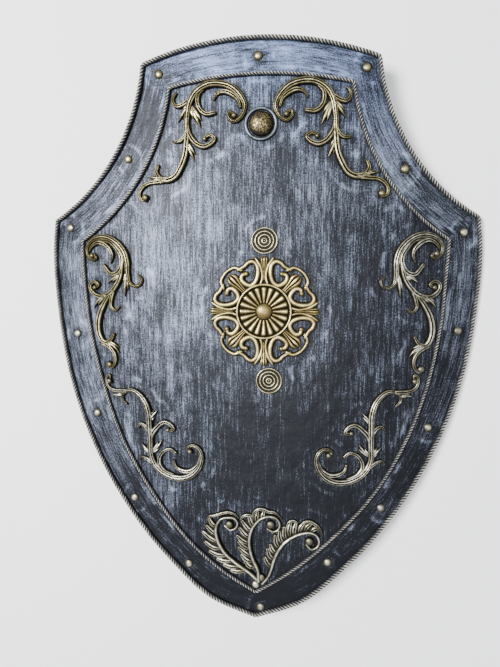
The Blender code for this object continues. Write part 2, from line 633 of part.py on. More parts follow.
def balance_point(items):
    """Centre of the whole volume, in metres."""
    corners = np.vstack([world_triangles(item) for item in items])
    volumes = np.linalg.det(corners)
    return (volumes[:, None] * corners.sum(axis=1)).sum(axis=0) / (4 * volumes.sum())


def rest_tilt(points, balance_y):
    """Tilt about X that sets the two lowest places either side of the balance point level, in radians."""
    order = np.argsort(points[:, 1])
    hull = []
    for y, z in points[order][:, 1:]:
        while len(hull) > 1:
            (y0, z0), (y1, z1) = hull[-2:]
            if (y1 - y0) * (z - z0) > (z1 - z0) * (y - y0):
                break
            hull.pop()
        hull.append((y, z))
    for (y0, z0), (y1, z1) in zip(hull, hull[1:]):
        if y0 <= balance_y <= y1:
            return math.atan2(z0 - z1, y1 - y0)
    raise ValueError("the balance point is outside the outline")


def lay_down(holder):
    """Lays the shield on its back, where it balances, over the middle of its own footprint."""
    bpy.context.view_layer.update()
    items = list(holder.children)
    everything = np.vstack([world_triangles(item).reshape(-1, 3) for item in items])
    balance = balance_point(items)
    tilt = rest_tilt(everything, balance[1])
    turn = Matrix.Rotation(tilt, 3, "X")
    turned = everything @ np.array(turn).T
    low = turned.min(axis=0)
    high = turned.max(axis=0)
    holder.rotation_euler = (tilt, 0, 0)
    holder.location = (-(low[0] + high[0]) / 2, -(low[1] + high[1]) / 2, -low[2])
    bpy.context.view_layer.update()


def main():
    clear_scene()
    shield = bpy.data.objects.new("shield", None)
    bpy.context.scene.collection.objects.link(shield)
    make_plate(shield)
    rim = inset(full_outline(SHEET_LINE, OUTLINE_TURN), RIM_ROPE_THICK / 2 + ROPE_EDGE)
    make_rope("rim_rope", rim, RIM_ROPE_THICK, shield)
    make_rope("panel_rope", full_outline(PANEL_LINE, OUTLINE_TURN), PANEL_ROPE_THICK, shield)
    for name, place in SCROLLS.items():
        make_scroll(name + "_left", place, True, shield)
        make_scroll(name + "_right", place, False, shield)
    make_palmette(shield)
    make_rosette(shield)
    make_disc("disc_upper", DISC_UPPER_AT, shield)
    make_disc("disc_lower", DISC_LOWER_AT, shield)
    make_boss(shield)
    make_rivets(shield)
    lay_down(shield)


main()
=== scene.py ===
"""Looks of the ornamental heater shield: brushed steel, twisted-wire ropes and rubbed brass castings.

Every piece is drawn flat, on the unrolled sheet, and then rolled and laid down as the solids are.
Flat coordinates are millimetres: x across from the crown line, y towards the top edge, z outwards.
"""

import math
from collections import namedtuple

import bmesh
import bpy
import numpy as np
from mathutils import Matrix, Vector, kdtree, noise


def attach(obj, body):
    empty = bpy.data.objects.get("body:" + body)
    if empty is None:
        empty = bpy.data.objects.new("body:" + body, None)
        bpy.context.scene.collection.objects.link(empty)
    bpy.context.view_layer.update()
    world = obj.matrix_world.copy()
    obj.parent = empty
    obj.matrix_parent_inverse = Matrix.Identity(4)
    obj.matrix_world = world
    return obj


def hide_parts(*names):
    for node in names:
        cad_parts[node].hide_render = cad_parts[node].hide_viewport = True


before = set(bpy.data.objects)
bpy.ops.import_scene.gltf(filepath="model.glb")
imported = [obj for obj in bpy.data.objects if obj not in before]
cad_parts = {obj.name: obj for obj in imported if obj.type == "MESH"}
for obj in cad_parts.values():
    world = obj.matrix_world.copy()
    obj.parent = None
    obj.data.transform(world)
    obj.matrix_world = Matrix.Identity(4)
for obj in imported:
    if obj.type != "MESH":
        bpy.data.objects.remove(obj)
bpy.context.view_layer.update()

# Driving dimensions, in millimetres, as in the solids.
MM = 0.001
SHEET_RADIUS = 850.0
SHEET_THICK = 1.5
# The shown sheet is a little smaller and thinner than the faceted solid, to stay inside its box.
EDGE_TRIM = 0.4
BACK_TRIM = 0.15
# As in the solids, ropes and rivet heads are this far clear of the sheet.
GAP = 0.3
RIM_ROPE_THICK = 5.5
PANEL_ROPE_THICK = 4.3
ROPE_EDGE = 0.2
# How far the feet of the castings, the discs and the boss reach into the sheet.
SINK = 0.25
# Points of a mesh that are closer than this are one point. In metres.
MERGE = 1e-6

# How the shield lies: tilted about X until it balances, over the middle of its footprint.
TILT = 0.030257
LYING_AT = (0.0, -0.009497, 0.037606)

# Outlines: both top corners, bow of the top edge, hollow of the necks, then each side down to the point.
Outline = namedtuple("Outline", "corners rise hollow left right")
SIDE = ((254, 150), (258, 108), (254, 45), (241, -30), (218, -98), (185, -161), (143, -219), (104, -260),
        (57, -300), (0, -322))
SHEET_LINE = Outline(((-134.5, 319.5), (134.5, 319.5)), 21.5, 27.5, [(-x, y) for x, y in SIDE], SIDE)
# The inner rope frames the panel. It was laid by hand, so left and right differ a little.
PANEL_LEFT = ((-214, 123), (-212.5, 80), (-206, 22), (-190.5, -42), (-165.5, -110), (-128.5, -172),
              (-84, -228), (-40, -265), (0.5, -289.5))
PANEL_RIGHT = ((216, 122), (213.5, 80), (208.5, 22), (195.5, -42), (170.5, -110), (133.5, -172),
               (83, -227), (39, -264), (0.5, -289.5))
PANEL_LINE = Outline(((-100, 289.5), (103.5, 290)), 10.0, 24.0, PANEL_LEFT, PANEL_RIGHT)

RIVETS = ((-113, 306), (0, 319), (118, 306), (-152, 215), (163, 199), (-233, 139), (235, 131),
          (-226, 11), (232, 19), (-200, -86), (199, -93), (-150, -187), (145, -187), (-81, -262),
          (84, -252), (0, -281.5), (6, -309))
RIVET_HEAD_R = 5.0
RIVET_HEAD_H = 2.8
RIVET_SHANK_R = 1.6
RIVET_TAIL_R = 2.8
RIVET_TAIL_H = 0.8

ROSETTE_AT = (8, 41)
MEDAL_R = 31.6
MEDAL_RIM_WIDTH = 3.2
MEDAL_RIM_H = 7.0
MEDAL_DISH_H = 3.0
MEDAL_KNOB_R = 10.0
MEDAL_KNOB_H = 9.6
PETALS = 20
DISC_UPPER_AT = (8, 120)
DISC_LOWER_AT = (14, -38)
DISC_R = 15.2
DISC_RINGS = 3
DISC_CREST = 2.6
DISC_DIP = 1.5
BOSS_AT = (3.5, 247)
BOSS_DOME_R = 13.6
BOSS_WALL_H = 2.0
BOSS_DOME_H = 6.3
BOSS_RING_R = 18.6
BOSS_RING_GAP = 1.2
BOSS_RING_H = 3.0

# A cast band: its centre line, its full widths along that line, its height and its ridges.
Band = namedtuple("Band", "line widths height ridges")
Knob = namedtuple("Knob", "at radius height")
ScrollPlace = namedtuple("ScrollPlace", "bands knobs pivot left right left_turn right_turn")
# A patch of mesh on the flat sheet: its points, its faces, and how far each point is rubbed. On the ropes
# this also holds painted shade on their inner sides.
Patch = namedtuple("Patch", "points faces wear")


LEAF_TIP = 0.8
LEAF_HEIGHT = 4


def leaf(line, root, middle):
    """A small pointed leaf, with its widths at its root and in its middle."""
    return Band(line, (root, middle, LEAF_TIP), LEAF_HEIGHT, 1)


TOP_BANDS = (
    Band(((81, 240), (80, 257), (77, 272), (70, 283), (58, 290), (46, 291), (31, 287), (20, 277),
          (15, 266), (19, 255), (27, 250), (33, 254), (33, 260), (28, 259)),
         (6, 7.5, 8, 8, 5, 4), 6.5, 3),
    Band(((80, 252), (79, 243), (76, 235), (69, 227), (61, 224), (53, 227), (49, 232), (54, 236),
          (60, 234)), (5, 7, 6, 4), 6, 2),
    Band(((60, 287), (67, 280), (68, 272), (65, 264), (58, 259), (49, 260)), (3, 6, 6, 5), 5.5, 2),
    Band(((50, 274), (46, 280), (38, 282), (30, 279), (23, 273), (20, 265)), (2, 6, 6, 3), 5.5, 2),
    Band(((71, 282), (79, 274), (86, 270), (92, 269), (96, 273), (96, 279), (93, 283)),
         (4, 6, 5, 3), 5.5, 2),
    leaf(((76, 271), (84, 262), (91, 252)), 7, 6),
    leaf(((75, 267), (70, 256), (65, 245)), 5, 8),
    Band(((80, 244), (84, 235), (89, 231), (96, 231)), (5, 5, 3.5), 5, 2),
    Band(((80, 246), (81, 227), (83, 214), (88, 202), (94, 193), (103, 189), (112, 191), (117, 198),
          (115, 205)), (6, 8, 8, 8, 4), 6, 2),
    leaf(((82, 231), (77, 220), (72, 209)), 7, 7),
    Band(((106, 188), (118, 187), (127, 186), (134, 182), (138, 176), (137, 169), (131, 167)),
         (6, 5, 4), 5, 2),
    leaf(((109, 190), (120, 192), (129, 193)), 5, 5),
)
TOP_KNOBS = (Knob((27, 256), 3.2, 6.5), Knob((60, 232), 2.6, 6), Knob((131, 170), 4, 6))

SIDE_BANDS = (
    Band(((143, 79), (139, 75), (141, 69), (148, 67), (154, 71), (156, 82), (156, 97), (160, 110),
          (169, 120), (180, 126), (192, 127), (203, 123), (209, 115), (208, 106), (203, 101), (197, 103),
          (200, 107)), (3, 5, 8, 8, 7, 4, 4), 6.5, 3),
    Band(((192, 123), (178, 121), (169, 113), (163, 102), (164, 91), (170, 84), (178, 83), (187, 93)),
         (4, 6, 7, 5), 5.5, 2),
    Band(((206, 112), (202, 117), (193, 121), (184, 118), (177, 111), (175, 104), (178, 96)),
         (3, 6, 6, 2), 5.5, 2),
    Band(((162, 95), (166, 79), (172, 69), (180, 61), (191, 57), (200, 59), (207, 66), (207, 72),
          (201, 75), (196, 71), (200, 68)), (5, 7, 6, 4), 6, 2),
    leaf(((157, 84), (160, 70), (162, 56)), 7, 7),
    leaf(((166, 80), (176, 77), (184, 72)), 4, 5),
    Band(((175, 66), (180, 53), (181, 45), (176, 40), (171, 43)), (6, 5, 3), 5, 2),
    leaf(((187, 58), (198, 52), (205, 44)), 6, 5),
    Band(((181, 60), (190, 48), (197, 35), (200, 21), (198, 9), (192, 2), (184, 5), (180, 11)),
         (5, 7.5, 8.5, 7.5, 4), 6, 2),
    leaf(((190, 3), (180, -3), (174, -11)), 6, 5),
    Band(((195, 1), (186, -4), (180, -13), (180, -22), (185, -28), (191, -26)), (6, 5, 4), 5, 2),
)
SIDE_KNOBS = (Knob((202, 106), 3.2, 6.5), Knob((201, 68), 2.8, 6), Knob((188, -25), 4, 6))

LOW_BANDS = (
    Band(((180, -43), (180.5, -38), (184.8, -40.5), (184.6, -47), (181, -53), (174, -56), (159, -56)),
         (3, 4, 5, 6), 5, 2),
    Band(((158, -72), (163, -67), (163, -61), (158, -56), (149, -55), (140, -60), (133, -69),
          (129, -81), (128, -96), (127, -114), (126, -133), (119, -146), (109, -153), (94, -157),
          (79, -154), (68, -144), (64, -131), (67, -121), (75, -117), (82, -121), (79, -124)),
         (3, 6, 8, 8, 7, 8, 8, 6, 4), 6.5, 3),
    leaf(((163, -61), (172, -61), (179, -63)), 4, 4),
    leaf(((128, -92), (124, -84), (118, -77)), 6, 6),
    Band(((127, -122), (125, -107), (119, -98), (110, -91), (102, -93), (98, -99), (103, -101)),
         (5, 7, 6, 4), 6, 2),
    Band(((128, -115), (130, -102), (135, -96), (141, -95), (143, -100)), (5, 6, 3), 5, 2),
    leaf(((126, -131), (134, -123), (140, -118)), 6, 5),
    leaf(((125, -128), (118, -121), (113, -113)), 6, 6),
    Band(((115, -148), (125, -141), (133, -136), (139, -135), (143, -139)), (5, 5, 2), 5, 2),
    Band(((96, -127), (102, -123), (109, -125), (115, -132), (116, -141), (110, -149), (98, -154)),
         (4, 5, 6, 4), 5.5, 2),
    Band(((98, -137), (95, -144), (86, -148), (77, -147), (69, -140), (66, -130)), (3, 6, 6, 3), 5.5, 2),
)
LOW_KNOBS = (Knob((180.5, -45), 3.4, 6), Knob((78, -124), 3.2, 6.5), Knob((105, -100), 2.8, 6))

# Where each scroll lies: the middle it turns about, then each side's move and its turn in degrees.
SCROLLS = {
    "scroll_top": ScrollPlace(TOP_BANDS, TOP_KNOBS, (85, 237), (-1, 0), (4.6, 1), 0.0, 0.9),
    "scroll_side": ScrollPlace(SIDE_BANDS, SIDE_KNOBS, (183, 57), (-3.7, 0), (-1, 0.5), -3.0, 0.0),
    "scroll_low": ScrollPlace(LOW_BANDS, LOW_KNOBS, (117, -110), (0, 0), (3.6, 2.9), 0.0, 3.3),
}

# The palmette in the point: three curled stems, one for each frond.
PALMETTE_STEMS = (
    Band(((1, -273), (-7, -266), (-26, -253), (-37, -243), (-44, -231), (-47, -219), (-46, -211),
          (-41, -203), (-32, -200.5), (-25, -201.5), (-21.5, -207), (-24, -213), (-30, -215.5),
          (-36, -211)), (6, 5.5, 5.5, 4.5, 4), 6, 1),
    Band(((3.5, -275), (2.5, -262), (-3, -250), (-6.5, -238), (-7.5, -226), (-5, -214), (0, -206),
          (7, -199.5), (16, -197), (24, -199.5), (27.5, -206), (26, -212), (20, -215), (14, -212)),
         (6, 5.5, 5.5, 4.5, 4), 6, 1),
    Band(((8, -278.5), (14, -271), (18, -261), (21, -250), (26, -238), (33, -228), (42, -221),
          (52, -216.5), (62, -215), (69.5, -218), (73, -225), (71, -232), (64.5, -235), (59, -230)),
         (4, 5.5, 5.5, 4.5, 4), 6, 1),
)
PALMETTE_KNOBS = (Knob((-31, -208.5), 4.6, 6.5), Knob((17, -206.5), 5, 6.5),
                  Knob((62, -225.5), 4.8, 6.5), Knob((6, -272), 5, 4.5))
# Each stem has a frond of swept lobes on its outer side. A lobe is three places: its root on the
# stem, its middle and its tip.
FRONDS = (
    (((-13, -265.5), (-21.5, -266), (-28.5, -265.5)), ((-20.5, -260.5), (-29, -261), (-37, -259)),
     ((-28.5, -254), (-36.5, -254.5), (-45, -252.5)), ((-35, -247.5), (-44, -247.5), (-54, -244)),
     ((-41.5, -240), (-51, -238.5), (-59.5, -233)), ((-45.5, -231.5), (-54, -227.5), (-62.5, -221)),
     ((-46.5, -222.5), (-52.5, -218.5), (-58, -213.5)), ((-46.5, -213.5), (-52, -209.5), (-55, -204.5))),
    (((-1.5, -260.5), (-7.5, -258.5), (-12, -254)), ((-4, -253.5), (-11, -251), (-16.5, -246)),
     ((-6.5, -246.5), (-13, -242.5), (-19.5, -237.5)), ((-7.5, -238.5), (-14, -235), (-19.5, -230)),
     ((-7.5, -231.5), (-15, -228), (-21.5, -223)), ((-6.5, -224.5), (-13, -220), (-18.5, -213.5)),
     ((-4.5, -217.5), (-10.5, -211.5), (-15.5, -205)), ((-2, -211.5), (-6, -204.5), (-8, -199)),
     ((2, -205.5), (1, -200), (2, -194)), ((8.5, -201), (8, -197), (9, -193))),
    (((19, -258.5), (14, -254), (11, -248)), ((21.5, -249.5), (16, -244), (14, -237.5)),
     ((24, -241.5), (19.5, -237.5), (17, -232)), ((27, -235), (23.5, -228.5), (22.5, -221)),
     ((31, -229), (28, -222.5), (27.5, -215.5)), ((35, -224.5), (33, -218), (33, -210.5)),
     ((39.5, -220.5), (38.5, -213.5), (40, -205.5)), ((44.5, -218), (44.5, -212.5), (46, -206)),
     ((50.5, -215), (51.5, -210), (55.5, -204.5)), ((57, -213.5), (59, -209), (63.5, -205)),
     ((64, -214), (68, -211), (71.5, -210.5))),
)
LOBE_WIDTHS = (3.5, 6.6, 6.8, 5.0)
LOBE_HEIGHT = 4.4
LOBE_RIDGES = 2
# The steps along a lobe or a leaf are finer than along other bands.
FINE_STEP = 0.7
# A low dark bed fills the room between the lobes of a frond. It ends this share of the way from their
# middles to their tips.
BED_HEIGHT = 2.2
BED_SHARE = 2 / 3
# Curled rims over the three fronds.
PALMETTE_CRESTS = (
    Band(((-57, -207), (-55, -201), (-49, -199.5), (-42, -197), (-34, -194.5), (-26, -196),
          (-20.5, -201)), (3, 4.5, 4.5, 2), 4.6, 2),
    Band(((-18, -203), (-15, -198.5), (-8, -196.5), (-2, -199)), (3, 4.5, 3), 4.2, 2),
    Band(((-4, -203), (-2.5, -194), (3, -189), (9, -189), (15, -191.5), (22, -192.5), (30, -200)),
         (3, 4.5, 4.5, 2), 4.6, 2),
    Band(((36, -211), (38, -204), (43, -201.5), (48, -204)), (3, 4, 3), 4.2, 2),
    Band(((51, -208), (56, -203), (62, -202), (68, -205), (74, -211), (77.5, -219)),
         (3, 4.5, 4.5, 2), 4.6, 2),
)

# The rosette's pierced rim. On an eighth of it, y runs out along a stem and x towards the diagonal.
SCROLL_C = Band(((29, 46.5), (22, 50.5), (18, 54.5), (13, 55.8), (8.7, 52.5), (7, 46), (7.6, 39),
                 (10.3, 32.5), (15.5, 29), (22, 31.5), (25.5, 36), (24.5, 40.5), (20, 42)),
                (3.6, 4.5, 5, 5, 5.5, 4.5), 5.5, 1)
STEM_SIDE = Band(((4.5, 29.5), (2.4, 36), (2.2, 42), (4.6, 51), (9.5, 59)), (3.4, 3, 3, 4, 3), 5.0, 1)
STEM_TONGUE = Band(((0, 36), (0, 47), (0, 57.5)), (3, 3.6, 6.4), 5.0, 3)
# On a diagonal, y runs out along it.
DIAGONAL_LEAF = Band(((0, 31), (0, 40), (0, 49)), (4, 6, 10.5), 5, 3)
OUTER_ARC = Band(((-14, 51.5), (-11, 58), (-3.5, 61), (3.5, 61), (11, 58), (14, 51.5)),
                 (4, 3.2, 3.2, 4), 4.2, 1)
# Which bands a quarter of the rosette has: how far round each is, in quarters, and if it is mirrored.
ROSETTE_BANDS = ((SCROLL_C, 0, False), (SCROLL_C, 0, True), (STEM_SIDE, 0, False), (STEM_SIDE, 0, True),
                 (STEM_TONGUE, 0, False), (DIAGONAL_LEAF, 0.5, False), (OUTER_ARC, 0.5, False))
# The shown bands of the rosette are fuller than the solid's.
ROSETTE_SWELL = 1.42
# Knobs close the inner curls and the ends of the outer arcs.
CURL_KNOB_R = 2.9
ARC_KNOB_R = 2.3

# Camera on the flat sheet's own axes: focal length in pixels, turns, and where the sheet is, in metres.
PICTURE_LONG_SIDE = 667
FOCAL_PIXELS = 550
CAMERA_YAW = math.radians(-5.73)
CAMERA_PITCH = math.radians(4.91)
CAMERA_ROLL = math.radians(-0.20)
SHEET_FROM_CAMERA = (0.0078, -0.0157, -0.626)


# Curves on the flat sheet.

def smooth_curve(points, steps=12):
    """A centripetal Catmull-Rom curve through the points, as an array of closely spaced places."""
    points = np.array(points, float)
    before = 2 * points[0] - points[1]
    after = 2 * points[-1] - points[-2]
    controls = np.vstack([before, points, after])
    gaps = np.linalg.norm(np.diff(controls, axis=0), axis=1)
    knots = np.concatenate([[0.0], np.cumsum(gaps ** 0.5)])
    pieces = []
    for first in range(len(controls) - 3):
        p0, p1, p2, p3 = controls[first:first + 4]
        t0, t1, t2, t3 = knots[first:first + 4]
        t = np.linspace(t1, t2, steps, endpoint=False)[:, None]
        a1 = (t1 - t) / (t1 - t0) * p0 + (t - t0) / (t1 - t0) * p1
        a2 = (t2 - t) / (t2 - t1) * p1 + (t - t1) / (t2 - t1) * p2
        a3 = (t3 - t) / (t3 - t2) * p2 + (t - t2) / (t3 - t2) * p3
        b1 = (t2 - t) / (t2 - t0) * a1 + (t - t0) / (t2 - t0) * a2
        b2 = (t3 - t) / (t3 - t1) * a2 + (t - t1) / (t3 - t1) * a3
        pieces.append((t2 - t) / (t2 - t1) * b1 + (t - t1) / (t2 - t1) * b2)
    return np.vstack(pieces + [points[-1:]])


def arc_between(start, end, rise, steps=40):
    """An arc from start to end that bows by rise to the left of the way it goes."""
    start = np.array(start, float)
    end = np.array(end, float)
    half = np.linalg.norm(end - start) / 2
    along = (end - start) / (2 * half)
    left = np.array([-along[1], along[0]])
    radius = (half ** 2 + rise ** 2) / (2 * abs(rise))
    reach = math.asin(half / radius)
    swing = np.linspace(-reach, reach, steps)[:, None]
    middle = (start + end) / 2 - left * math.copysign(radius - abs(rise), rise)
    bow = math.copysign(1.0, rise)
    return middle + radius * (np.sin(swing) * along + np.cos(swing) * left * bow)


def left_turned(ways):
    """Unit vectors a quarter turn to the left of these ways."""
    ways = ways / np.linalg.norm(ways, axis=1)[:, None]
    return np.stack([-ways[:, 1], ways[:, 0]], axis=1)


def inset(outline, distance):
    """The closed clockwise outline moved inward, with mitred corners."""
    before = left_turned(outline - np.roll(outline, 1, axis=0))
    after = left_turned(np.roll(outline, -1, axis=0) - outline)
    mitre = before + after
    length = 2 / (mitre ** 2).sum(axis=1)[:, None]
    return outline - distance * mitre * length


TOP_HALF_STEPS = 30


def full_outline(line):
    """A closed shield outline, clockwise from the middle of the top edge."""
    left_corner, right_corner = line.corners
    top = arc_between(left_corner, right_corner, line.rise, 2 * TOP_HALF_STEPS + 1)
    right_neck = arc_between(right_corner, line.right[0], -line.hollow)
    left_neck = arc_between(left_corner, line.left[0], line.hollow)
    right = (top[TOP_HALF_STEPS:], right_neck, smooth_curve(line.right))
    left = (smooth_curve(line.left)[::-1], left_neck[::-1], top[:TOP_HALF_STEPS + 1])
    return np.vstack([run[:-1] for run in (*right, *left)])


def evenly(curve, step, closed=False):
    """The curve again, with its places evenly spaced at about step."""
    if closed:
        curve = np.vstack([curve, curve[:1]])
    along = np.concatenate([[0.0], np.cumsum(np.linalg.norm(np.diff(curve, axis=0), axis=1))])
    count = max(int(round(along[-1] / step)), 3)
    places = np.linspace(0, along[-1], count + 1)
    even = np.stack([np.interp(places, along, curve[:, axis]) for axis in range(2)], axis=1)
    return even[:-1] if closed else even


def left_of(curve, closed=False):
    """Unit vectors to the left of the way a curve goes."""
    if closed:
        return left_turned(np.roll(curve, -1, axis=0) - np.roll(curve, 1, axis=0))
    return left_turned(np.gradient(curve, axis=0))


def soften(closed_curve, reach):
    """A closed curve with its corners rounded by averaging each place with its neighbours."""
    total = sum(np.roll(closed_curve, shift, axis=0) for shift in range(-reach, reach + 1))
    return total / (2 * reach + 1)


# Patches of mesh.

def grid_faces(rows, columns, closed_rows=False):
    """Four-sided faces over rows of points. Each row is a closed ring."""
    index = np.arange(rows * columns).reshape(rows, columns)
    index = np.hstack([index, index[:, :1]])
    if closed_rows:
        index = np.vstack([index, index[:1]])
    corners = (index[:-1, :-1], index[:-1, 1:], index[1:, 1:], index[1:, :-1])
    return np.stack([corner.ravel() for corner in corners], axis=1)


def join(patches):
    """One patch from several."""
    starts = np.cumsum([0] + [len(patch.points) for patch in patches[:-1]])
    faces = np.vstack([patch.faces + start for patch, start in zip(patches, starts)])
    return Patch(np.vstack([patch.points for patch in patches]), faces,
                 np.concatenate([patch.wear for patch in patches]))


def swept(line, left, sideways, up):
    """Points beside each place of a line: how far to its left each is, and how high."""
    flat = line[:, None, :] + left[:, None, :] * sideways[:, :, None]
    return np.concatenate([flat, up[:, :, None]], axis=2).reshape(-1, 3)


# Places across a band, where -1 is one foot and 1 the other.
BAND_SECTION = np.linspace(-0.97, 0.97, 29)
GROOVE_DEPTH = 0.62
# The higher it is, the squarer the rolls of a band and the narrower the grooves between them.
ROLL_POWER = 2.6
# How far a band's crown falls towards its sides, and how narrowly its rolls are rubbed.
CROWN_FALL = 0.3
ROLL_WEAR_POWER = 4
# A band's rounded ends have a ring of points at each of these turns.
CAP_TURNS = np.radians(np.linspace(15, 90, 6))
# The height that even the narrowest part of a band has, as a share of its full height.
LEAST_RISE = 0.35


def rolls(ridges):
    """How full a band is across its width: one rounded roll for each ridge, and narrow grooves."""
    spot = (BAND_SECTION + 1) / 2 * ridges
    within = 2 * (spot - np.floor(spot)) - 1
    return np.sqrt(1 - np.abs(within) ** ROLL_POWER)


def band_profile(ridges):
    """Height and wear across a band, from one foot to the other."""
    full = rolls(ridges)
    crown = 1 - CROWN_FALL * BAND_SECTION ** 2
    height = crown * (1 - GROOVE_DEPTH * (1 - full))
    wear = full ** ROLL_WEAR_POWER * crown
    across = np.concatenate([[-1.0], BAND_SECTION, [1.0]])
    return across, np.concatenate([[0.0], height, [0.0]]), np.concatenate([[0.0], wear, [0.0]])


def band_patch(band, step=0.9):
    """A ridged band along a smooth line, with rounded ends, its foot sunk a little into the sheet."""
    line = evenly(smooth_curve(band.line), step)
    places = np.linspace(0, 1, len(band.widths))
    half = np.interp(np.linspace(0, 1, len(line)), places, band.widths) / 2
    left = left_of(line)
    ends = []
    for end, outward in ((0, -1), (-1, 1)):
        way = outward * np.array([left[end][1], -left[end][0]])
        cap = line[end] + np.outer(np.sin(CAP_TURNS) * half[end], way)
        ends.append((cap, np.cos(CAP_TURNS) * half[end]))
    line = np.vstack([ends[0][0][::-1], line, ends[1][0]])
    left = np.pad(left, ((len(CAP_TURNS), len(CAP_TURNS)), (0, 0)), mode="edge")
    half = np.concatenate([ends[0][1][::-1], half, ends[1][1]])
    across, height, wear = band_profile(band.ridges)
    fullness = np.minimum(half / (max(band.widths) / 2), 1.0)
    rise = band.height * (LEAST_RISE + (1 - LEAST_RISE) * fullness)
    up = rise[:, None] * height[None, :]
    up[:, (0, -1)] = -SINK
    points = swept(line, left, across[None, :] * half[:, None], up)
    rubbed = np.clip(wear[None, :] * (rise[:, None] / band.height) ** 0.5, 0, 1)
    return Patch(points, grid_faces(len(line), len(across)), rubbed.ravel())


def turned(at, profile, sides):
    """A turned form: the profile is (radius, height, wear) from its foot to its middle."""
    angles = np.linspace(0, 2 * math.pi, sides, endpoint=False)
    across, up = np.cos(angles), np.sin(angles)
    rings = [np.stack([at[0] + radius * across, at[1] + radius * up, np.full(sides, height)], axis=1)
             for radius, height, _ in profile]
    rubbed = np.repeat([wear for _, _, wear in profile], sides)
    return Patch(np.vstack(rings), grid_faces(len(profile), sides), rubbed)


# How far a dome is rubbed, at its foot and at its top.
KNOB_WEAR = (0.0, 0.8)
BOSS_WEAR = (0.15, 0.8)
RIVET_WEAR = (0.15, 1.0)


def dome(radius, foot, height, wear, turns):
    """The profile of a dome over its foot, with a ring at each of the turns, in degrees."""
    low, top = wear
    rises = [(math.cos(turn), math.sin(turn)) for turn in np.radians(turns)]
    return [(radius * out, foot + height * rise, low + (top - low) * rise) for out, rise in rises]


def knob_patch(knob):
    """A round knob: a straight wall under a dome."""
    wall = knob.height * 0.5
    profile = [(knob.radius, 0.0, 0.0), (knob.radius, wall, 0.1)]
    profile += dome(knob.radius, wall, knob.height - wall, KNOB_WEAR, np.linspace(15, 90, 7))
    return turned(knob.at, profile, 28)


# How far apart the grooves between the strands are along each rope.
RIM_ROPE_PITCH = 3.77
PANEL_ROPE_PITCH = 3.6
ROPE_STRANDS = 3
ROPE_SIDES = 14
# How full the strands are between the grooves, as a power, and a rope's radius in its grooves with
# what its crests add, as shares of half its thickness.
STRAND_POWER = 0.8
GROOVE_SHARE = 0.7
CREST_SHARE = 0.25
# Only the strands' crests are rubbed. Painted shade makes them darker on the rope's inner side than on
# its outer side.
CREST_WEAR_POWER = 9
TOP_WEAR = 0.85
INNER_SIDE_SHADE = 0.35


def rope_patch(centre_line, thick, pitch):
    """A closed wire rope whose strands show one groove each pitch along it."""
    line = soften(evenly(centre_line, pitch / 6, closed=True), 4)
    left = left_of(line, closed=True)
    lengths = np.linalg.norm(line - np.roll(line, 1, axis=0), axis=1)
    along = np.cumsum(lengths)
    lead = along[-1] / round(along[-1] / (pitch * ROPE_STRANDS))
    twist = -2 * math.pi * along / lead
    section = np.linspace(0, 2 * math.pi, ROPE_SIDES, endpoint=False)
    lobe = np.abs(np.cos(ROPE_STRANDS * (section[None, :] - twist[:, None]) / 2)) ** STRAND_POWER
    radius = thick / 2 * (GROOVE_SHARE + CREST_SHARE * lobe)
    up = GAP + thick / 2 + radius * np.cos(section)
    points = swept(line, left, radius * np.sin(section), up)
    # Painted shade: the crests are rubbed less on the rope's inner side.
    rubbed = lobe ** CREST_WEAR_POWER * np.clip(TOP_WEAR + INNER_SIDE_SHADE * np.sin(section), 0, 1)
    return Patch(points, grid_faces(len(line), ROPE_SIDES, closed_rows=True), rubbed.ravel())


# The castings.

# The three flutes of a leaf: which side each is on, how much of the leaf's length it has, and how
# high it is as a share of the leaf's height.
FLUTES = ((-1, 0.74, 1.0), (1, 0.82, 1.0), (0, 1.0, 1.2))
# Widths along a flute, how far the side flutes lie from the middle one at their roots, and how much
# further at their tips, all as shares of the leaf's full width.
FLUTE_WIDTHS = (0.5, 0.76, 0.66, 0.1)
FLUTES_APART = 0.14
FLUTES_FAN = 0.4


def leaf_patches(band):
    """A pointed leaf as three rounded flutes that fan out from its root and meet along their sides."""
    line = smooth_curve(band.line, 8)
    way = left_of(line)
    share = np.linspace(0, 1, len(line))[:, None]
    width = max(band.widths)
    widths = [width * part for part in FLUTE_WIDTHS]
    made = []
    for side, reach, full in FLUTES:
        kept = share[:, 0] <= reach
        fan = line[kept] + way[kept] * side * width * (FLUTES_APART + FLUTES_FAN * share[kept] / reach)
        made.append(band_patch(Band(fan[::4], widths, band.height * full, 1), FINE_STEP))
    return made


def casting_patches(bands, knobs):
    """The bands and knobs of one casting. A band that ends in a leaf's tip is a leaf."""
    made = []
    for band in bands:
        if band.widths[-1] == LEAF_TIP:
            made += leaf_patches(band)
        else:
            made.append(band_patch(band))
    return made + [knob_patch(knob) for knob in knobs]


def placed(point, pivot, move, turn, mirror):
    """A scroll's own point, turned about its pivot in degrees, moved, and mirrored to the left side."""
    angle = math.radians(turn)
    x = point[0] - pivot[0]
    y = point[1] - pivot[1]
    across = pivot[0] + move[0] + x * math.cos(angle) - y * math.sin(angle)
    up = pivot[1] + move[1] + x * math.sin(angle) + y * math.cos(angle)
    return (-across if mirror else across, up)


def scroll_patch(place, mirror):
    """One scroll in its own place, or mirrored into the place that it has on the left side."""
    move = place.left if mirror else place.right
    turn = place.left_turn if mirror else place.right_turn
    bands = [band._replace(line=[placed(point, place.pivot, move, turn, mirror) for point in band.line])
             for band in place.bands]
    knobs = [knob._replace(at=placed(knob.at, place.pivot, move, turn, mirror)) for knob in place.knobs]
    return join(casting_patches(bands, knobs))


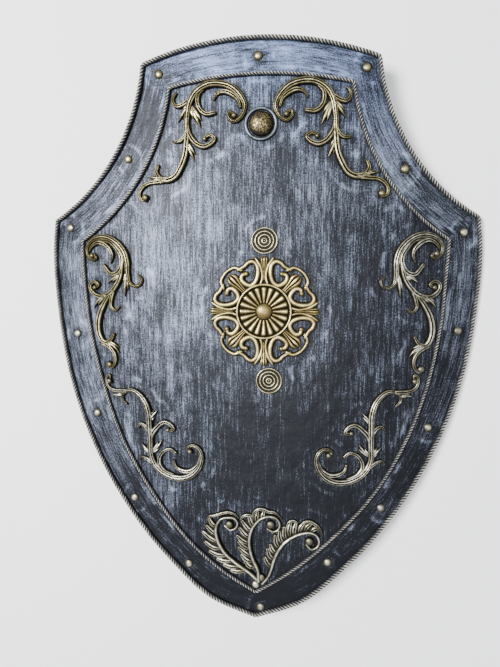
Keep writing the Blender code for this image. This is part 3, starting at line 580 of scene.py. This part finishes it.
def bed_patch(roots, tips):
    """A low dark bed between the roots and the tips of one frond's lobes."""
    roots = np.vstack([roots[:1], roots, roots[-1:]])
    tips = np.vstack([tips[:1], tips, tips[-1:]])
    low = np.full(len(roots), -SINK)
    top = np.full(len(roots), BED_HEIGHT)
    top[[0, -1]] = -SINK
    ring = [np.column_stack([place, height]) for place, height in
            ((roots, low), (roots, top), (tips, top), (tips, low))]
    points = np.stack(ring, axis=1).reshape(-1, 3)
    return Patch(points, grid_faces(len(roots), len(ring)), np.zeros(len(points)))


def palmette_patch():
    """Three curled stems, a frond of ribbed lobes on each, and curled rims over the fronds."""
    made = casting_patches((*PALMETTE_STEMS, *PALMETTE_CRESTS), PALMETTE_KNOBS)
    for frond in FRONDS:
        roots, middles, tips = np.array(frond, float).transpose(1, 0, 2)
        made.append(bed_patch(roots, middles + (tips - middles) * BED_SHARE))
        for lobe in frond:
            made.append(band_patch(Band(lobe, LOBE_WIDTHS, LOBE_HEIGHT, LOBE_RIDGES), FINE_STEP))
    return join(made)


def spun(point, quarter_turns, mirror):
    """A point of one eighth of the rosette, mirrored, turned by quarter turns, and moved to its place."""
    x = -point[0] if mirror else point[0]
    angle = math.radians(90) * quarter_turns
    across = x * math.cos(angle) - point[1] * math.sin(angle)
    up = x * math.sin(angle) + point[1] * math.cos(angle)
    return (ROSETTE_AT[0] + across, ROSETTE_AT[1] + up)


PETAL_STEPS = 14
# The petals' floor is this far over the dish, and their tops start this far under the rim.
PETAL_FLOOR = 0.4
PETAL_BELOW_RIM = 0.6
# How much of their height the petals lose on the way in, and the share of their length that their
# rounded outer ends take.
PETAL_FALL = 0.45
PETAL_END = 0.12


def medallion_heights(reach, angle):
    """Height and wear of the ring and the petals at each distance from the middle and each angle."""
    dish = MEDAL_R - MEDAL_RIM_WIDTH
    on_ring = (reach > dish - 0.01)[:, None]
    rim = np.sin(np.clip((reach - dish) / MEDAL_RIM_WIDTH, 0, 1) * math.pi)[:, None]
    along = np.clip((dish - 0.8 - reach) / (dish - MEDAL_KNOB_R), 0, 1)[:, None]
    end = np.sqrt(np.clip(1 - (1 - along / PETAL_END).clip(0, 1) ** 2, 0, 1))
    lobe = np.abs(np.cos(angle * PETALS / 2)) ** 0.75
    floor = MEDAL_DISH_H + PETAL_FLOOR
    full = (MEDAL_RIM_H - PETAL_BELOW_RIM - floor) * (1 - PETAL_FALL * along)
    height = np.where(on_ring, MEDAL_RIM_H * (0.62 + 0.38 * rim ** 0.6), floor + full * end * lobe)
    wear = np.where(on_ring, rim ** 0.7, end * lobe ** 1.6 * (1.1 - 0.35 * along))
    return height, wear


def medallion_patch():
    """A turned ring round a dish of rounded petals."""
    dish = MEDAL_R - MEDAL_RIM_WIDTH
    reach = np.concatenate([[0.0, MEDAL_R, MEDAL_R], np.linspace(MEDAL_R, dish, 9)[1:],
                            np.linspace(dish, MEDAL_KNOB_R - 2, 26)[1:], [0.0]])
    angle = np.linspace(0, 2 * math.pi, PETALS * PETAL_STEPS, endpoint=False)
    height, wear = medallion_heights(reach, angle)
    height[:2] = -SINK
    height[-1] = 0.0
    points = np.stack([ROSETTE_AT[0] + reach[:, None] * np.cos(angle),
                       ROSETTE_AT[1] + reach[:, None] * np.sin(angle), height], axis=2)
    return Patch(points.reshape(-1, 3), grid_faces(len(reach), len(angle)), wear.ravel())


def rosette_patch():
    """The medallion with its knob, and round it the bands and small knobs of four equal quarters."""
    made = [medallion_patch(), knob_patch(Knob(ROSETTE_AT, MEDAL_KNOB_R, MEDAL_KNOB_H))]
    for quarter in range(4):
        for band, spin, mirror in ROSETTE_BANDS:
            line = [spun(point, quarter + spin, mirror) for point in band.line]
            widths = [width * ROSETTE_SWELL for width in band.widths]
            made.append(band_patch(band._replace(line=line, widths=widths)))
        for mirror in (False, True):
            curl = spun(SCROLL_C.line[-1], quarter, mirror)
            made.append(knob_patch(Knob(curl, CURL_KNOB_R, SCROLL_C.height)))
            arc_end = spun(OUTER_ARC.line[0], quarter + 0.5, mirror)
            made.append(knob_patch(Knob(arc_end, ARC_KNOB_R, OUTER_ARC.height)))
    return join(made)


# The part of a ring's width that the disc's middle bump takes.
DISC_BUMP = 0.55
# The first crest lies this part of a ring in from the disc's edge.
DISC_RING_START = 0.3


def disc_patch(at):
    """Raised rings round a point, pressed in a small disc."""
    ring = DISC_R / (DISC_RINGS + 1)
    profile = [(0.0, -SINK, 0.0), (DISC_R, -SINK, 0.0), (DISC_R, DISC_DIP, 0.1)]
    for reach in np.linspace(DISC_R, 0, 46)[1:]:
        wave = 0.5 + 0.5 * math.cos(2 * math.pi * (DISC_R - reach - DISC_RING_START * ring) / ring)
        if reach < DISC_BUMP * ring:
            wave = 0.5 + 0.5 * math.cos(math.pi * reach / (DISC_BUMP * ring))
        profile.append((reach, DISC_DIP + (DISC_CREST - DISC_DIP) * wave, wave ** 2))
    return turned(at, profile, 64)


def boss_patch():
    """A domed boss on a low straight wall."""
    profile = [(0.0, -SINK, 0.0), (BOSS_DOME_R, -SINK, 0.0), (BOSS_DOME_R, BOSS_WALL_H, 0.2)]
    profile += dome(BOSS_DOME_R, BOSS_WALL_H, BOSS_DOME_H, BOSS_WEAR, np.linspace(6, 90, 16))
    return turned(BOSS_AT, profile, 72)


def boss_ring_patch():
    """The rounded ring round the boss, open in the middle."""
    inner = BOSS_DOME_R + BOSS_RING_GAP
    middle = (inner + BOSS_RING_R) / 2
    half = (BOSS_RING_R - inner) / 2
    profile = [(inner, -SINK, 0.0), (BOSS_RING_R, -SINK, 0.0)]
    for turn in np.radians(np.linspace(0, 180, 13)):
        lift = BOSS_RING_H * (0.45 + 0.55 * math.sin(turn) ** 0.7)
        profile.append((middle + half * math.cos(turn), lift, math.sin(turn)))
    profile.append((inner, -SINK, 0.0))
    return turned(BOSS_AT, profile, 72)


def rivet_patch(at):
    """A domed head, a shank through the sheet, and a closed tail behind."""
    back = -SHEET_THICK - GAP
    profile = [(0.0, back - RIVET_TAIL_H, 0.3), (RIVET_TAIL_R - 0.5, back - RIVET_TAIL_H, 0.6),
               (RIVET_TAIL_R, back - RIVET_TAIL_H * 0.5, 0.4), (RIVET_TAIL_R, back, 0.1),
               (RIVET_SHANK_R, back, 0.0), (RIVET_SHANK_R, GAP, 0.0), (RIVET_HEAD_R, GAP, 0.0)]
    profile += dome(RIVET_HEAD_R, GAP, RIVET_HEAD_H, RIVET_WEAR, np.linspace(12, 90, 9))
    return turned(at, profile, 32)


# The plate.

PLATE_CENTRE = np.array((0.0, 40.0))
PLATE_RINGS = 110
# The back has fewer rings than the front.
BACK_RINGS = PLATE_RINGS // 6
# Depth of the dents. They fade out towards the edge, and the higher the power, the later.
DENT = 0.35
DENT_FADE_POWER = 6
# Broad and small dents: their size across and along, and the slice of noise that they come from.
BROAD_DENTS = (46, 60, 0.3)
SMALL_DENTS = (19, 24, 4.1)
# Painted shadow: black lacquer shows further out on this side of the castings, away from the light.
SHADOW_SIDE = (1.8, -2.0)
# The rope is thinner than the castings and shades less of the sheet beside it.
ROPE_SHADE = 3.0


def nearest(points, targets):
    """Distance from each point to the nearest target, and which target that is."""
    tree = kdtree.KDTree(len(targets))
    for index, target in enumerate(targets):
        tree.insert((target[0], target[1], 0.0), index)
    tree.balance()
    found = [tree.find((point[0], point[1], 0.0)) for point in points]
    return np.array([hit[2] for hit in found]), np.array([hit[1] for hit in found])


def waves(points, across, along, slice_at):
    """Soft noise at each point: the size of its waves across and along, and which slice of it."""
    return np.array([noise.noise((x / across, y / along, slice_at)) for x, y in points])


def hammered(points):
    """Depth of the soft dents that hand work leaves in the sheet, half as deep in the small waves."""
    broad = waves(points, *BROAD_DENTS)
    small = waves(points, *SMALL_DENTS)
    return DENT * (broad + 0.5 * small - 1.0) / 2


def plate_patch(outline):
    """The sheet: rings from a middle point out to the rim, over the edge, and a plainer back."""
    front = np.linspace(0, 1, PLATE_RINGS)
    back = np.linspace(1, 0, BACK_RINGS)
    made = []
    for shares, level in ((front, 0.0), (back, BACK_TRIM - SHEET_THICK)):
        flat = np.vstack([PLATE_CENTRE + (outline - PLATE_CENTRE) * share for share in shares])
        fade = 1 - np.repeat(shares, len(outline)) ** DENT_FADE_POWER
        made.append(np.column_stack([flat, hammered(flat) * fade + level]))
    points = np.vstack(made)
    faces = grid_faces(PLATE_RINGS + BACK_RINGS, len(outline))
    return Patch(points, faces, np.zeros(len(points)))


# From the flat sheet to the object.

LYING = Matrix.Translation(LYING_AT) @ Matrix.Rotation(TILT, 4, "X")


def laid(points):
    """Flat places in millimetres, rolled and laid down, in metres."""
    angle = points[:, 0] / SHEET_RADIUS
    radius = SHEET_RADIUS + points[:, 2]
    across = radius * np.sin(angle)
    up = radius * np.cos(angle) - SHEET_RADIUS
    rolled = np.stack([across, points[:, 1], up], axis=1)
    turn = np.array(LYING.to_3x3())
    return rolled * MM @ turn.T + np.array(LYING.translation)


def store(mesh, name, kind, field, values):
    """Keeps one value for each point in the mesh, for its material."""
    made = mesh.attributes.new(name, kind, "POINT")
    made.data.foreach_set(field, np.asarray(values, np.float32).ravel())


def add_piece(node, patch, material, extra=None, sharp=40.0):
    """A shown piece from a flat patch. It rides on the shield and stands for the solid of that name."""
    mesh = bpy.data.meshes.new(node + "_fine")
    mesh.from_pydata(laid(patch.points).tolist(), [], patch.faces.tolist())
    store(mesh, "wear", "FLOAT", "value", patch.wear)
    store(mesh, "flat", "FLOAT_VECTOR", "vector", patch.points)
    for name, values in (extra or {}).items():
        kind, field = ("FLOAT_VECTOR", "vector") if values.ndim == 2 else ("FLOAT", "value")
        store(mesh, name, kind, field, values)
    shape = bmesh.new()
    shape.from_mesh(mesh)
    bmesh.ops.remove_doubles(shape, verts=shape.verts, dist=MERGE)
    bmesh.ops.recalc_face_normals(shape, faces=shape.faces)
    shape.to_mesh(mesh)
    shape.free()
    mesh.materials.append(material)
    mesh.shade_smooth()
    mesh.set_sharp_from_angle(angle=math.radians(sharp))
    piece = bpy.data.objects.new(node + "_fine", mesh)
    bpy.context.scene.collection.objects.link(piece)
    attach(piece, "root")
    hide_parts(node)


# What the plate's finish follows.

def inside(points, outline):
    """Whether each point lies inside the closed outline."""
    x, y = points[:, :1], points[:, 1:2]
    x0, y0 = outline.T
    x1, y1 = np.roll(outline, -1, axis=0).T
    slope = (x1 - x0) / np.where(y1 == y0, 1.0, y1 - y0)
    crossed = ((y0 > y) != (y1 > y)) & (x < x0 + slope * (y - y0))
    return crossed.sum(axis=1) % 2 == 1


def hill(points, middle, reach):
    """A soft bump that fades out at its reach across and up."""
    return np.exp(-(((points[:, :2] - middle) / reach) ** 2).sum(axis=1))


BASE_BRUSHING = 0.02
# Where the sheet shows more silver or less, partly from the brush and partly painted light and shade of
# the curved sheet: how much, the middle of the place, and its reach.
BRUSHED_AND_LIT_PLACES = (
    (0.1, (-115, 65), (118, 167)),
    (0.34, (-10, 322), (190, 45)),
    (0.16, (-235, 0), (45, 170)),
    (-0.32, (20, -320), (240, 110)),
    (-0.28, (60, -120), (100, 90)),
    (-0.34, (-150, 290), (60, 60)),
    (0.1, (243, 60), (30, 120)),
    (0.26, (140, 205), (70, 60)),
    (-0.06, (150, 60), (60, 160)),
)


def silver_and_painted_light(points):
    """How much silver shows, brushed silver with painted light and shade: the base value, with what each
    place adds or takes.
    """
    amount = np.full(len(points), BASE_BRUSHING)
    for strength, middle, reach in BRUSHED_AND_LIT_PLACES:
        amount += strength * hill(points, middle, reach)
    return amount


def plate_extras(patch, outline, panel, ornaments):
    """Where the nearest edge is, how near an ornament is, and how much silver shows, partly brushed and
    partly painted light.
    """
    across, edge = nearest(patch.points, evenly(outline, 1.0, closed=True))
    to_panel, _ = nearest(patch.points, evenly(panel, 1.5, closed=True))
    outside = np.where(inside(patch.points, panel), -1.0, 1.0)
    border = np.column_stack([across, edge.astype(float), outside * to_panel])
    # Painted shadow: the ornaments count again moved to their shadow side, and the panel rope shades the
    # sheet near it.
    near, _ = nearest(patch.points, np.vstack([ornaments, ornaments + SHADOW_SIDE]))
    near = np.minimum(near, to_panel + ROPE_SHADE)
    return {"border": border, "near": near, "brushing_and_light": silver_and_painted_light(patch.points)}


# Finishes.

class Shade:
    """Writes the nodes of one material."""

    def __init__(self, name, metallic, roughness):
        self.material = bpy.data.materials.new(name)
        self.material.use_nodes = True
        self.tree = self.material.node_tree
        self.shader = self.tree.nodes["Principled BSDF"]
        self.shader.inputs["Metallic"].default_value = metallic
        self.shader.inputs["Roughness"].default_value = roughness

    def feed(self, socket, value):
        if isinstance(value, bpy.types.NodeSocket):
            self.tree.links.new(value, socket)
        else:
            socket.default_value = value

    def node(self, kind, *values, **settings):
        """A node with its first inputs filled in order. Gives its outputs."""
        made = self.tree.nodes.new("ShaderNode" + kind)
        for name, value in settings.items():
            setattr(made, name, value)
        for socket, value in zip(made.inputs, values):
            self.feed(socket, value)
        return made.outputs

    def value(self, name):
        """One value that is stored for each point of the mesh."""
        return self.node("Attribute", attribute_name=name)["Fac"]

    def vector(self, name):
        return self.node("Attribute", attribute_name=name)["Vector"]

    def maths(self, operation, *values):
        return self.node("Math", *values, operation=operation)[0]

    def cells(self, place, across, along, deep=0.0):
        """A place counted in cells of these sizes."""
        sizes = [1 / size if size else 0.0 for size in (across, along, deep)]
        return self.node("VectorMath", place, sizes, operation="MULTIPLY")[0]

    def noise(self, place, detail, rough=0.5):
        made = self.tree.nodes.new("ShaderNodeTexNoise")
        self.feed(made.inputs["Vector"], place)
        made.inputs["Scale"].default_value = 1.0
        made.inputs["Detail"].default_value = detail
        made.inputs["Roughness"].default_value = rough
        return made.outputs[0]

    def ease(self, value, low, high, start=0.0, end=1.0):
        """A smooth step from start to end as the value goes from low to high."""
        return self.node("MapRange", value, low, high, start, end, interpolation_type="SMOOTHSTEP")[0]

    def mix(self, share, one, two):
        """A colour between two. The node's inputs 6 and 7 and its output 2 are its colours."""
        made = self.tree.nodes.new("ShaderNodeMix")
        made.data_type = "RGBA"
        self.feed(made.inputs[0], share)
        self.feed(made.inputs[6], one)
        self.feed(made.inputs[7], two)
        return made.outputs[2]

    def bump(self, height, distance, strength):
        made = self.tree.nodes.new("ShaderNodeBump")
        made.inputs["Distance"].default_value = distance
        made.inputs["Strength"].default_value = strength
        self.feed(made.inputs["Height"], height)
        self.feed(self.shader.inputs["Normal"], made.outputs[0])

    def finish(self, colour, roughness=None):
        self.feed(self.shader.inputs["Base Color"], colour)
        if roughness is not None:
            self.feed(self.shader.inputs["Roughness"], roughness)
        return self.material


LACQUER = (0.012, 0.013, 0.016, 1.0)
SILVER = (0.34, 0.39, 0.52, 1.0)
# Painted sky reflection, mixed into the silver towards the top edge.
SKY_REFLECTION_SILVER = (0.27, 0.35, 0.58, 1.0)
DARK_STEEL = (0.09, 0.1, 0.11, 1.0)
CREAM = (0.7, 0.66, 0.54, 1.0)
PATINA = (0.016, 0.014, 0.01, 1.0)
# Tint and crest of the brass: greenish castings, a more golden rosette and paler castings.
OLIVE = ((0.13, 0.11, 0.045, 1.0), (0.64, 0.58, 0.36, 1.0))
GOLDEN = ((0.2, 0.15, 0.05, 1.0), (0.7, 0.58, 0.27, 1.0))
SILVERY = ((0.14, 0.128, 0.08, 1.0), (0.84, 0.82, 0.7, 1.0))
# The rivets above this height are as greenish as the upper castings.
OLIVE_ABOVE = 160
# Layers of the brush strokes: size of the noise across and along the brush, detail, roughness, share.
STROKES = (((9.0, 300.0), 3.0, 0.6, 0.16), ((2.6, 80.0), 3.0, 0.65, 0.22), ((1.4, 20.0), 2.0, 0.6, 0.3))
GRAIN_SHARE = 0.32
# How strongly the strokes and the clouds of silver show.
STROKE_CONTRAST = 3.7
CLOUD_CONTRAST = 0.75
# Silver that some soft patches have more, and a painted highlight: silver in a ring round the ornaments.
PATCH_SILVER = 0.09
RING_HIGHLIGHT = 0.26
# The share of its silver that the steel keeps right beside an ornament, in the painted shadow and brush
# gap there.
SHADOW_KEEPS = 0.15


def steel():
    """Black lacquer dry-brushed with silver: strokes run up the panel and along the border, with painted
    shadow, highlight and sky reflection.
    """
    shade = Shade("brushed_steel_and_painted_light", 0.45, 0.42)
    shade.shader.inputs["Specular IOR Level"].default_value = 0.15
    flat = shade.vector("flat")
    border = shade.vector("border")
    outside = shade.maths("GREATER_THAN", shade.node("SeparateXYZ", border)["Z"], 0.0)
    turn = shade.node("VectorMath", border, flat, operation="SUBTRACT")[0]
    turn = shade.node("VectorMath", turn, outside, operation="MULTIPLY")[0]
    place = shade.node("VectorMath", flat, turn, operation="ADD")[0]
    grain = shade.noise(shade.cells(flat, 1.2, 1.8, 2.0), 2.0, 0.6)
    cloud = shade.noise(shade.cells(flat, 44.0, 56.0), 3.0, 0.55)
    puff = shade.noise(shade.cells(flat, 15.0, 19.0, 9.0), 2.0, 0.5)
    near = shade.value("near")
    strokes = 0.0
    for sizes, detail, rough, share in STROKES:
        layer = shade.noise(shade.cells(place, *sizes), detail, rough)
        strokes = shade.maths("MULTIPLY_ADD", layer, share, strokes)
    strokes = shade.maths("MULTIPLY_ADD", grain, GRAIN_SHARE, strokes)
    # The lacquer is left black beside the ornaments, partly where the brush missed and partly as painted
    # shadow, and patches of a painted highlight ring lie outside that.
    shadow_and_brush_gap = shade.ease(shade.maths("MULTIPLY_ADD", puff, 6.0, near), 3.5, 9.0)
    ring = shade.maths("MULTIPLY", shade.ease(near, 7.0, 10.0), shade.ease(near, 11.0, 15.0, 1.0, 0.0))
    ring = shade.maths("MULTIPLY", ring, shade.ease(puff, 0.45, 0.62))
    clouds = shade.maths("SUBTRACT", cloud, 0.5)
    level = shade.maths("MULTIPLY_ADD", clouds, CLOUD_CONTRAST, shade.value("brushing_and_light"))
    level = shade.maths("MULTIPLY_ADD", shade.ease(puff, 0.55, 0.75), PATCH_SILVER, level)
    level = shade.maths("MULTIPLY_ADD", ring, RING_HIGHLIGHT, level)
    kept = shade.maths("MULTIPLY_ADD", shadow_and_brush_gap, 1 - SHADOW_KEEPS, SHADOW_KEEPS)
    level = shade.maths("MULTIPLY", level, kept)
    silver = shade.maths("MULTIPLY_ADD", shade.maths("SUBTRACT", strokes, 0.5), STROKE_CONTRAST, level)
    silver = shade.ease(silver, -0.1, 1.1)
    # Painted reflection: the silver turns bluer towards the top edge, for the sky seen in the sheet.
    height = shade.node("SeparateXYZ", flat)["Y"]
    silver_and_sky = shade.mix(shade.ease(height, 180.0, 320.0), SILVER, SKY_REFLECTION_SILVER)
    shade.bump(shade.maths("MULTIPLY_ADD", puff, 10.0, strokes), 0.0002, 0.6)
    return shade.finish(shade.mix(silver, LACQUER, silver_and_sky), shade.ease(silver, 0.0, 1.0, 0.44, 0.56))


def wire(name, low, high):
    """Twisted wire, black in its grooves and rubbed pale as its wear goes from low to high. The wear
    holds painted shade on the rope's inner side.
    """
    shade = Shade(name, 0.0, 0.6)
    shade.shader.inputs["Specular IOR Level"].default_value = 0.2
    worn = shade.noise(shade.cells(shade.vector("flat"), 9.0, 9.0, 9.0), 3.0)
    rubbed = shade.maths("MULTIPLY_ADD", worn, 0.4, shade.value("wear"))
    return shade.finish(shade.mix(shade.ease(rubbed, low, high), LACQUER, CREAM))


def ring_steel():
    """Plain dark steel, a little lighter along its crown."""
    shade = Shade("dark_ring_steel", 0.7, 0.36)
    spots = shade.noise(shade.cells(shade.vector("flat"), 6.0, 6.0, 6.0), 3.0)
    rubbed = shade.maths("MULTIPLY", shade.value("wear"), spots)
    return shade.finish(shade.mix(shade.ease(rubbed, 0.2, 0.6), LACQUER, DARK_STEEL))


def brass(name, colours, pitting=0.0):
    """Cast brass, black in its hollows and rubbed bright along its ridges, with dark pits if wanted."""
    tint, crest = colours
    shade = Shade(name, 0.7, 0.36)
    flat = shade.vector("flat")
    spots = shade.noise(shade.cells(flat, 7.0, 7.0, 7.0), 4.0, 0.6)
    grain = shade.noise(shade.cells(flat, 0.9, 0.9, 0.9), 2.0)
    pits = shade.noise(shade.cells(flat, 1.7, 1.7, 1.7), 3.0, 0.7)
    rubbed = shade.maths("MULTIPLY_ADD", spots, 0.7, shade.maths("SUBTRACT", shade.value("wear"), 0.35))
    rubbed = shade.maths("MULTIPLY_ADD", shade.maths("SUBTRACT", pits, 0.6), pitting, rubbed)
    colour = shade.mix(shade.ease(rubbed, 0.25, 0.65), PATINA, tint)
    colour = shade.mix(shade.ease(rubbed, 0.75, 1.1), colour, crest)
    shade.bump(grain, 0.00015, 0.5)
    return shade.finish(colour, shade.ease(rubbed, 0.2, 0.9, 0.5, 0.3))


# The room.

WINDOW_AT = (-1.15, 0.45, 2.1)
WINDOW_SIZE = 0.8
WINDOW_WATTS = 145.0
OVERHEAD_AT = (0.1, 0.1, 2.0)
OVERHEAD_SIZE = 1.4
OVERHEAD_WATTS = 30.0
SKY_STRENGTH = 0.42


def add_light(name, place, size, power, colour=(1.0, 1.0, 1.0)):
    """A square lamp that shines on the shield."""
    lamp = bpy.data.lights.new(name, "AREA")
    lamp.size = size
    lamp.energy = power
    lamp.color = colour
    made = bpy.data.objects.new(name, lamp)
    bpy.context.scene.collection.objects.link(made)
    made.location = place
    made.rotation_euler = (-Vector(place)).to_track_quat("-Z", "Y").to_euler()


def add_room():
    world = bpy.data.worlds.new("studio")
    world.use_nodes = True
    sky = world.node_tree.nodes["Background"]
    sky.inputs["Color"].default_value = (0.85, 0.9, 1.0, 1.0)
    sky.inputs["Strength"].default_value = SKY_STRENGTH
    bpy.context.scene.world = world
    add_light("window", WINDOW_AT, WINDOW_SIZE, WINDOW_WATTS, (0.98, 0.99, 1.0))
    add_light("overhead", OVERHEAD_AT, OVERHEAD_SIZE, OVERHEAD_WATTS)
    floor_material = Shade("pale_floor", 0.0, 0.8).finish((0.97, 0.97, 0.97, 1.0))
    bpy.ops.mesh.primitive_plane_add(size=8.0, location=(0, 0, 0))
    floor = bpy.context.object
    floor.name = "floor"
    floor.data.materials.append(floor_material)


def add_camera():
    """Sees the sheet as the picture does. Its place and turns are given on the unrolled sheet's axes."""
    turn = (Matrix.Rotation(CAMERA_ROLL, 3, "Z") @ Matrix.Rotation(CAMERA_PITCH, 3, "X")
            @ Matrix.Rotation(CAMERA_YAW, 3, "Y"))
    back = turn.transposed()
    data = bpy.data.cameras.new("camera")
    data.lens = FOCAL_PIXELS / PICTURE_LONG_SIDE * data.sensor_width
    camera = bpy.data.objects.new("camera", data)
    bpy.context.scene.collection.objects.link(camera)
    at = back @ -Vector(SHEET_FROM_CAMERA)
    camera.matrix_world = LYING @ Matrix.Translation(at) @ back.to_4x4()
    bpy.context.scene.camera = camera


def make_castings():
    """The patch and the brass of each casting and rivet, under the name of its solid."""
    golden = brass("golden_old_brass", GOLDEN)
    olive = brass("olive_old_brass", OLIVE)
    silvery = brass("silvery_old_brass", SILVERY)
    castings = {
        "leaf_palmette": (palmette_patch(), silvery),
        "rosette": (rosette_patch(), golden),
        "disc_upper": (disc_patch(DISC_UPPER_AT), olive),
        "disc_lower": (disc_patch(DISC_LOWER_AT), olive),
        "boss_top": (boss_patch(), brass("pitted_old_brass", GOLDEN, 3.6)),
    }
    left_brass = {"scroll_top": olive, "scroll_side": olive, "scroll_low": silvery}
    right_brass = {"scroll_top": olive, "scroll_side": silvery, "scroll_low": silvery}
    for name, place in SCROLLS.items():
        castings[name + "_left"] = (scroll_patch(place, True), left_brass[name])
        castings[name + "_right"] = (scroll_patch(place, False), right_brass[name])
    for count, at in enumerate(RIVETS, 1):
        castings[f"rivet_{count:02d}"] = (rivet_patch(at), olive if at[1] > OLIVE_ABOVE else silvery)
    return castings


# The strands of a rope are smooth over their steep sides.
ROPE_SHARP = 80.0


def main():
    outline = inset(full_outline(SHEET_LINE), EDGE_TRIM)
    panel = full_outline(PANEL_LINE)
    castings = make_castings()
    for name, (patch, finish) in castings.items():
        add_piece(name, patch, finish)
    add_piece("boss_ring", boss_ring_patch(), ring_steel())
    rim_line = inset(outline, RIM_ROPE_THICK / 2 + ROPE_EDGE)
    rim_rope = rope_patch(rim_line, RIM_ROPE_THICK, RIM_ROPE_PITCH)
    rim_wire = wire("rubbed_and_shaded_rim_wire", 0.45, 0.85)
    add_piece("rim_rope", rim_rope, rim_wire, sharp=ROPE_SHARP)
    panel_rope = rope_patch(panel, PANEL_ROPE_THICK, PANEL_ROPE_PITCH)
    panel_wire = wire("rubbed_and_shaded_panel_wire", 0.5, 0.9)
    add_piece("panel_rope", panel_rope, panel_wire, sharp=ROPE_SHARP)
    ornaments = np.vstack([patch.points[::5, :2] for patch, _ in castings.values()])
    plate = plate_patch(outline)
    extras = plate_extras(plate, outline, panel, ornaments)
    add_piece("shield_plate", plate, steel(), extras)
    add_room()
    add_camera()


main()
